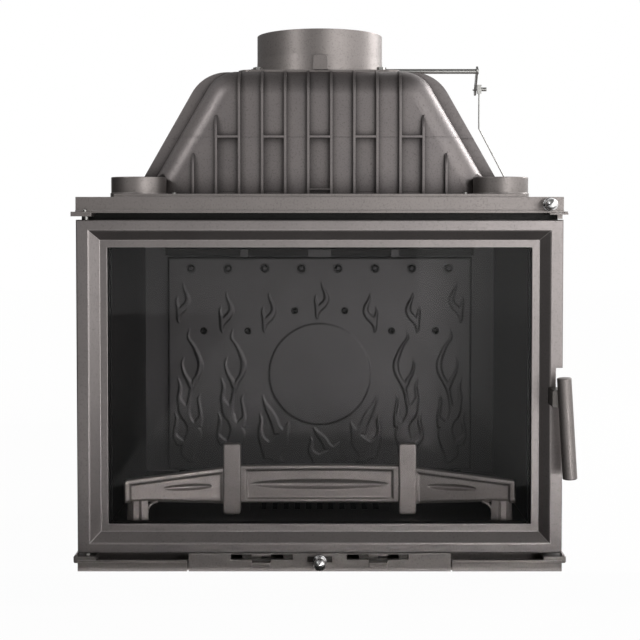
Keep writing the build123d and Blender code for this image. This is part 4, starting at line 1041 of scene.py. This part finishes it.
@dataclass
class Studio:
    """Camera, pale floor, soft lamps, a tent of cards and a white surround.

    Places are in metres, angles in degrees, the lens in millimetres and the lamps in watts.
    """

    camera_place: tuple[float, float, float] = (0.0, -1.910, 0.5203)
    pitch_down: float = 1.66
    lens: float = 66.507
    shift: tuple[float, float] = (0.0005, -0.1146)
    floor_reach: float = 6.0
    floor_glow: float = 0.975   # the rest of what the camera sees of the floor is lit paper
    ambient: float = 0.9
    lamps: tuple[Softbox, ...] = (
        Softbox("rear_right", (1.6, 0.75, 1.4), (0.1, 0.0, 0.7), (0.9, 0.9), 15.0),
        Softbox("right_fillet", (1.49, 0.72, 1.34), (0.2, -0.08, 0.66), (0.4, 0.4), 0.2, 30.0),
        Softbox("hood_left", (-1.0, -1.05, 1.15), (-0.12, -0.14, 0.66), (0.15, 0.2), 0.2, 40.0),
        Softbox("hood_right", (1.0, -1.2, 1.1), (0.12, -0.14, 0.66), (0.45, 0.4), 0.08, 40.0),
        Softbox("low_front", (0.7, -2.25, 0.16), (0.05, -0.2, 0.04), (1.2, 0.1), 0.21, 14.0),
        Softbox("front_lamp", (1.0, -2.4, 0.8), (0.0, 0.0, 0.3), (0.5, 0.6), 7.0),
    )
    cards: tuple[Card, ...] = (
        Card("left_low", (-1.3, -4.5, 0.0), (-1.3, 1.0, 1.0), 0.01),
        Card("left_high", (-1.3, -4.5, 1.0), (-1.3, 1.0, 3.0), 0.6),
        Card("front_left", (-1.3, -4.5, 0.0), (-0.4, -4.5, 0.8), 1.3),
        Card("front", (-0.4, -4.5, 0.0), (0.5, -4.5, 0.8), 1.1),
        Card("front_right", (0.5, -4.5, 0.0), (1.9, -4.5, 0.8), 2.2),
        Card("front_left_high", (-1.3, -4.5, 0.8), (-0.4, -4.5, 3.0), 0.0),
        Card("front_high", (-0.4, -4.5, 0.8), (0.5, -4.5, 3.0), 0.0),
        Card("front_right_high", (0.5, -4.5, 0.8), (1.9, -4.5, 3.0), 0.0),
        Card("floor_foot", (-1.3, -0.36, 0.002), (1.9, -0.215, 0.002), 0.01, False),
        Card("floor_near", (-1.3, -0.70, 0.002), (1.9, -0.36, 0.002), 0.16, False),
        Card("rear_left", (-1.3, 1.0, 0.0), (0.0, 1.0, 3.0), 0.25),
        Card("floor_left", (-1.3, -4.5, 0.002), (-0.4, -0.7, 0.002), 0.4, False),
        Card("floor_front", (-0.4, -4.5, 0.002), (0.4, -0.7, 0.002), 1.2, False),
        Card("floor_right", (0.4, -4.5, 0.002), (1.9, -0.7, 0.002), 1.7, False),
        Card("ceiling", (-1.3, -4.5, 3.0), (1.9, 1.0, 3.0), 0.17),
        Card("right_front", (1.9, -4.5, 0.0), (1.9, -0.35, 3.0), 1.5),
    )

    def camera(self) -> None:
        """Place the camera where the photograph was taken from."""
        data = bpy.data.cameras.new("camera")
        data.sensor_width = 36.0
        data.lens = self.lens
        data.shift_x, data.shift_y = self.shift
        thing = bpy.data.objects.new("camera", data)
        bpy.context.scene.collection.objects.link(thing)
        thing.location = self.camera_place
        thing.rotation_euler = (math.radians(90 - self.pitch_down), 0, 0)
        bpy.context.scene.camera = thing

    @staticmethod
    def white_rays(tree: bpy.types.NodeTree) -> bpy.types.NodeSocket:
        """Find the rays that see plain white: those of the camera, of mirrors and through glass.

        Args:
            tree: The node tree that needs them.

        Returns:
            A socket that is 1 for those rays and 0 for the others.
        """
        rays = add_node(tree, "ShaderNodeLightPath")
        direct = add_node(tree, "ShaderNodeMath", {0: rays.outputs["Is Camera Ray"],
                                                   1: rays.outputs["Is Transmission Ray"]},
                          operation="MAXIMUM")
        seen = add_node(tree, "ShaderNodeMath", {0: direct.outputs["Value"],
                                                 1: rays.outputs["Is Glossy Ray"]}, operation="MAXIMUM")
        return seen.outputs["Value"]

    def surround(self) -> None:
        """Make the world white to the camera, to mirrors and through glass, and soft grey as a lamp."""
        world = bpy.data.worlds.new("surround")
        bpy.context.scene.world = world
        world.use_nodes = True
        tree = world.node_tree
        tree.nodes.clear()
        soft = add_node(tree, "ShaderNodeBackground", {"Color": linear("f4f2f0"), "Strength": self.ambient})
        white = add_node(tree, "ShaderNodeBackground", {"Color": (1, 1, 1, 1), "Strength": 1.0})
        both = add_node(tree, "ShaderNodeMixShader", {0: self.white_rays(tree),
                                                      1: soft.outputs["Background"],
                                                      2: white.outputs["Background"]})
        add_node(tree, "ShaderNodeOutputWorld", {"Surface": both.outputs["Shader"]})

    def floor(self) -> None:
        """Lay a pale floor that is nearly white to the camera and keeps the insert's shadow."""
        corners = self.floor_reach * np.array([(-1, -1, 0), (1, -1, 0), (1, 1, 0), (-1, 1, 0)])
        thing = mesh_object("floor", corners, [(0, 1, 2, 3)], smooth=False)
        material, tree = new_material("pale_floor")
        paper = add_node(tree, "ShaderNodeBsdfDiffuse", {"Color": linear("f2f1ef")})
        glow = add_node(tree, "ShaderNodeEmission", {"Color": (1, 1, 1, 1), "Strength": 1.0})
        share = add_node(tree, "ShaderNodeMath", {0: self.white_rays(tree), 1: self.floor_glow},
                         operation="MULTIPLY")
        both = add_node(tree, "ShaderNodeMixShader", {0: share.outputs["Value"], 1: paper.outputs["BSDF"],
                                                      2: glow.outputs["Emission"]})
        add_node(tree, "ShaderNodeOutputMaterial", {"Surface": both.outputs["Shader"]})
        thing.data.materials.append(material)

    def build(self) -> None:
        """Build the whole studio."""
        self.camera()
        self.surround()
        self.floor()
        for thing in (*self.lamps, *self.cards):
            thing.build()
        view = bpy.context.scene.view_settings
        view.view_transform = "Standard"


def main() -> None:
    """Build the insert's looks in order and report each piece."""
    logging.basicConfig(level=logging.INFO, format="%(name)s %(message)s")
    Studio().build()
    dress_kept_pieces()
    LogFence().build()
    Fireback().build()
    PullKnob("air_pull_knob", "air_knob", "air_slide", 0.0, 17.6, -235.0, -203.7, 2.5).build()
    PullKnob("damper_pull_knob", "damper_knob", "damper_rod", 328.5, 531.6, -235.0, -220.0, 3.2).build()
    RopeSeal().build()


if __name__ == "__main__":
    main()
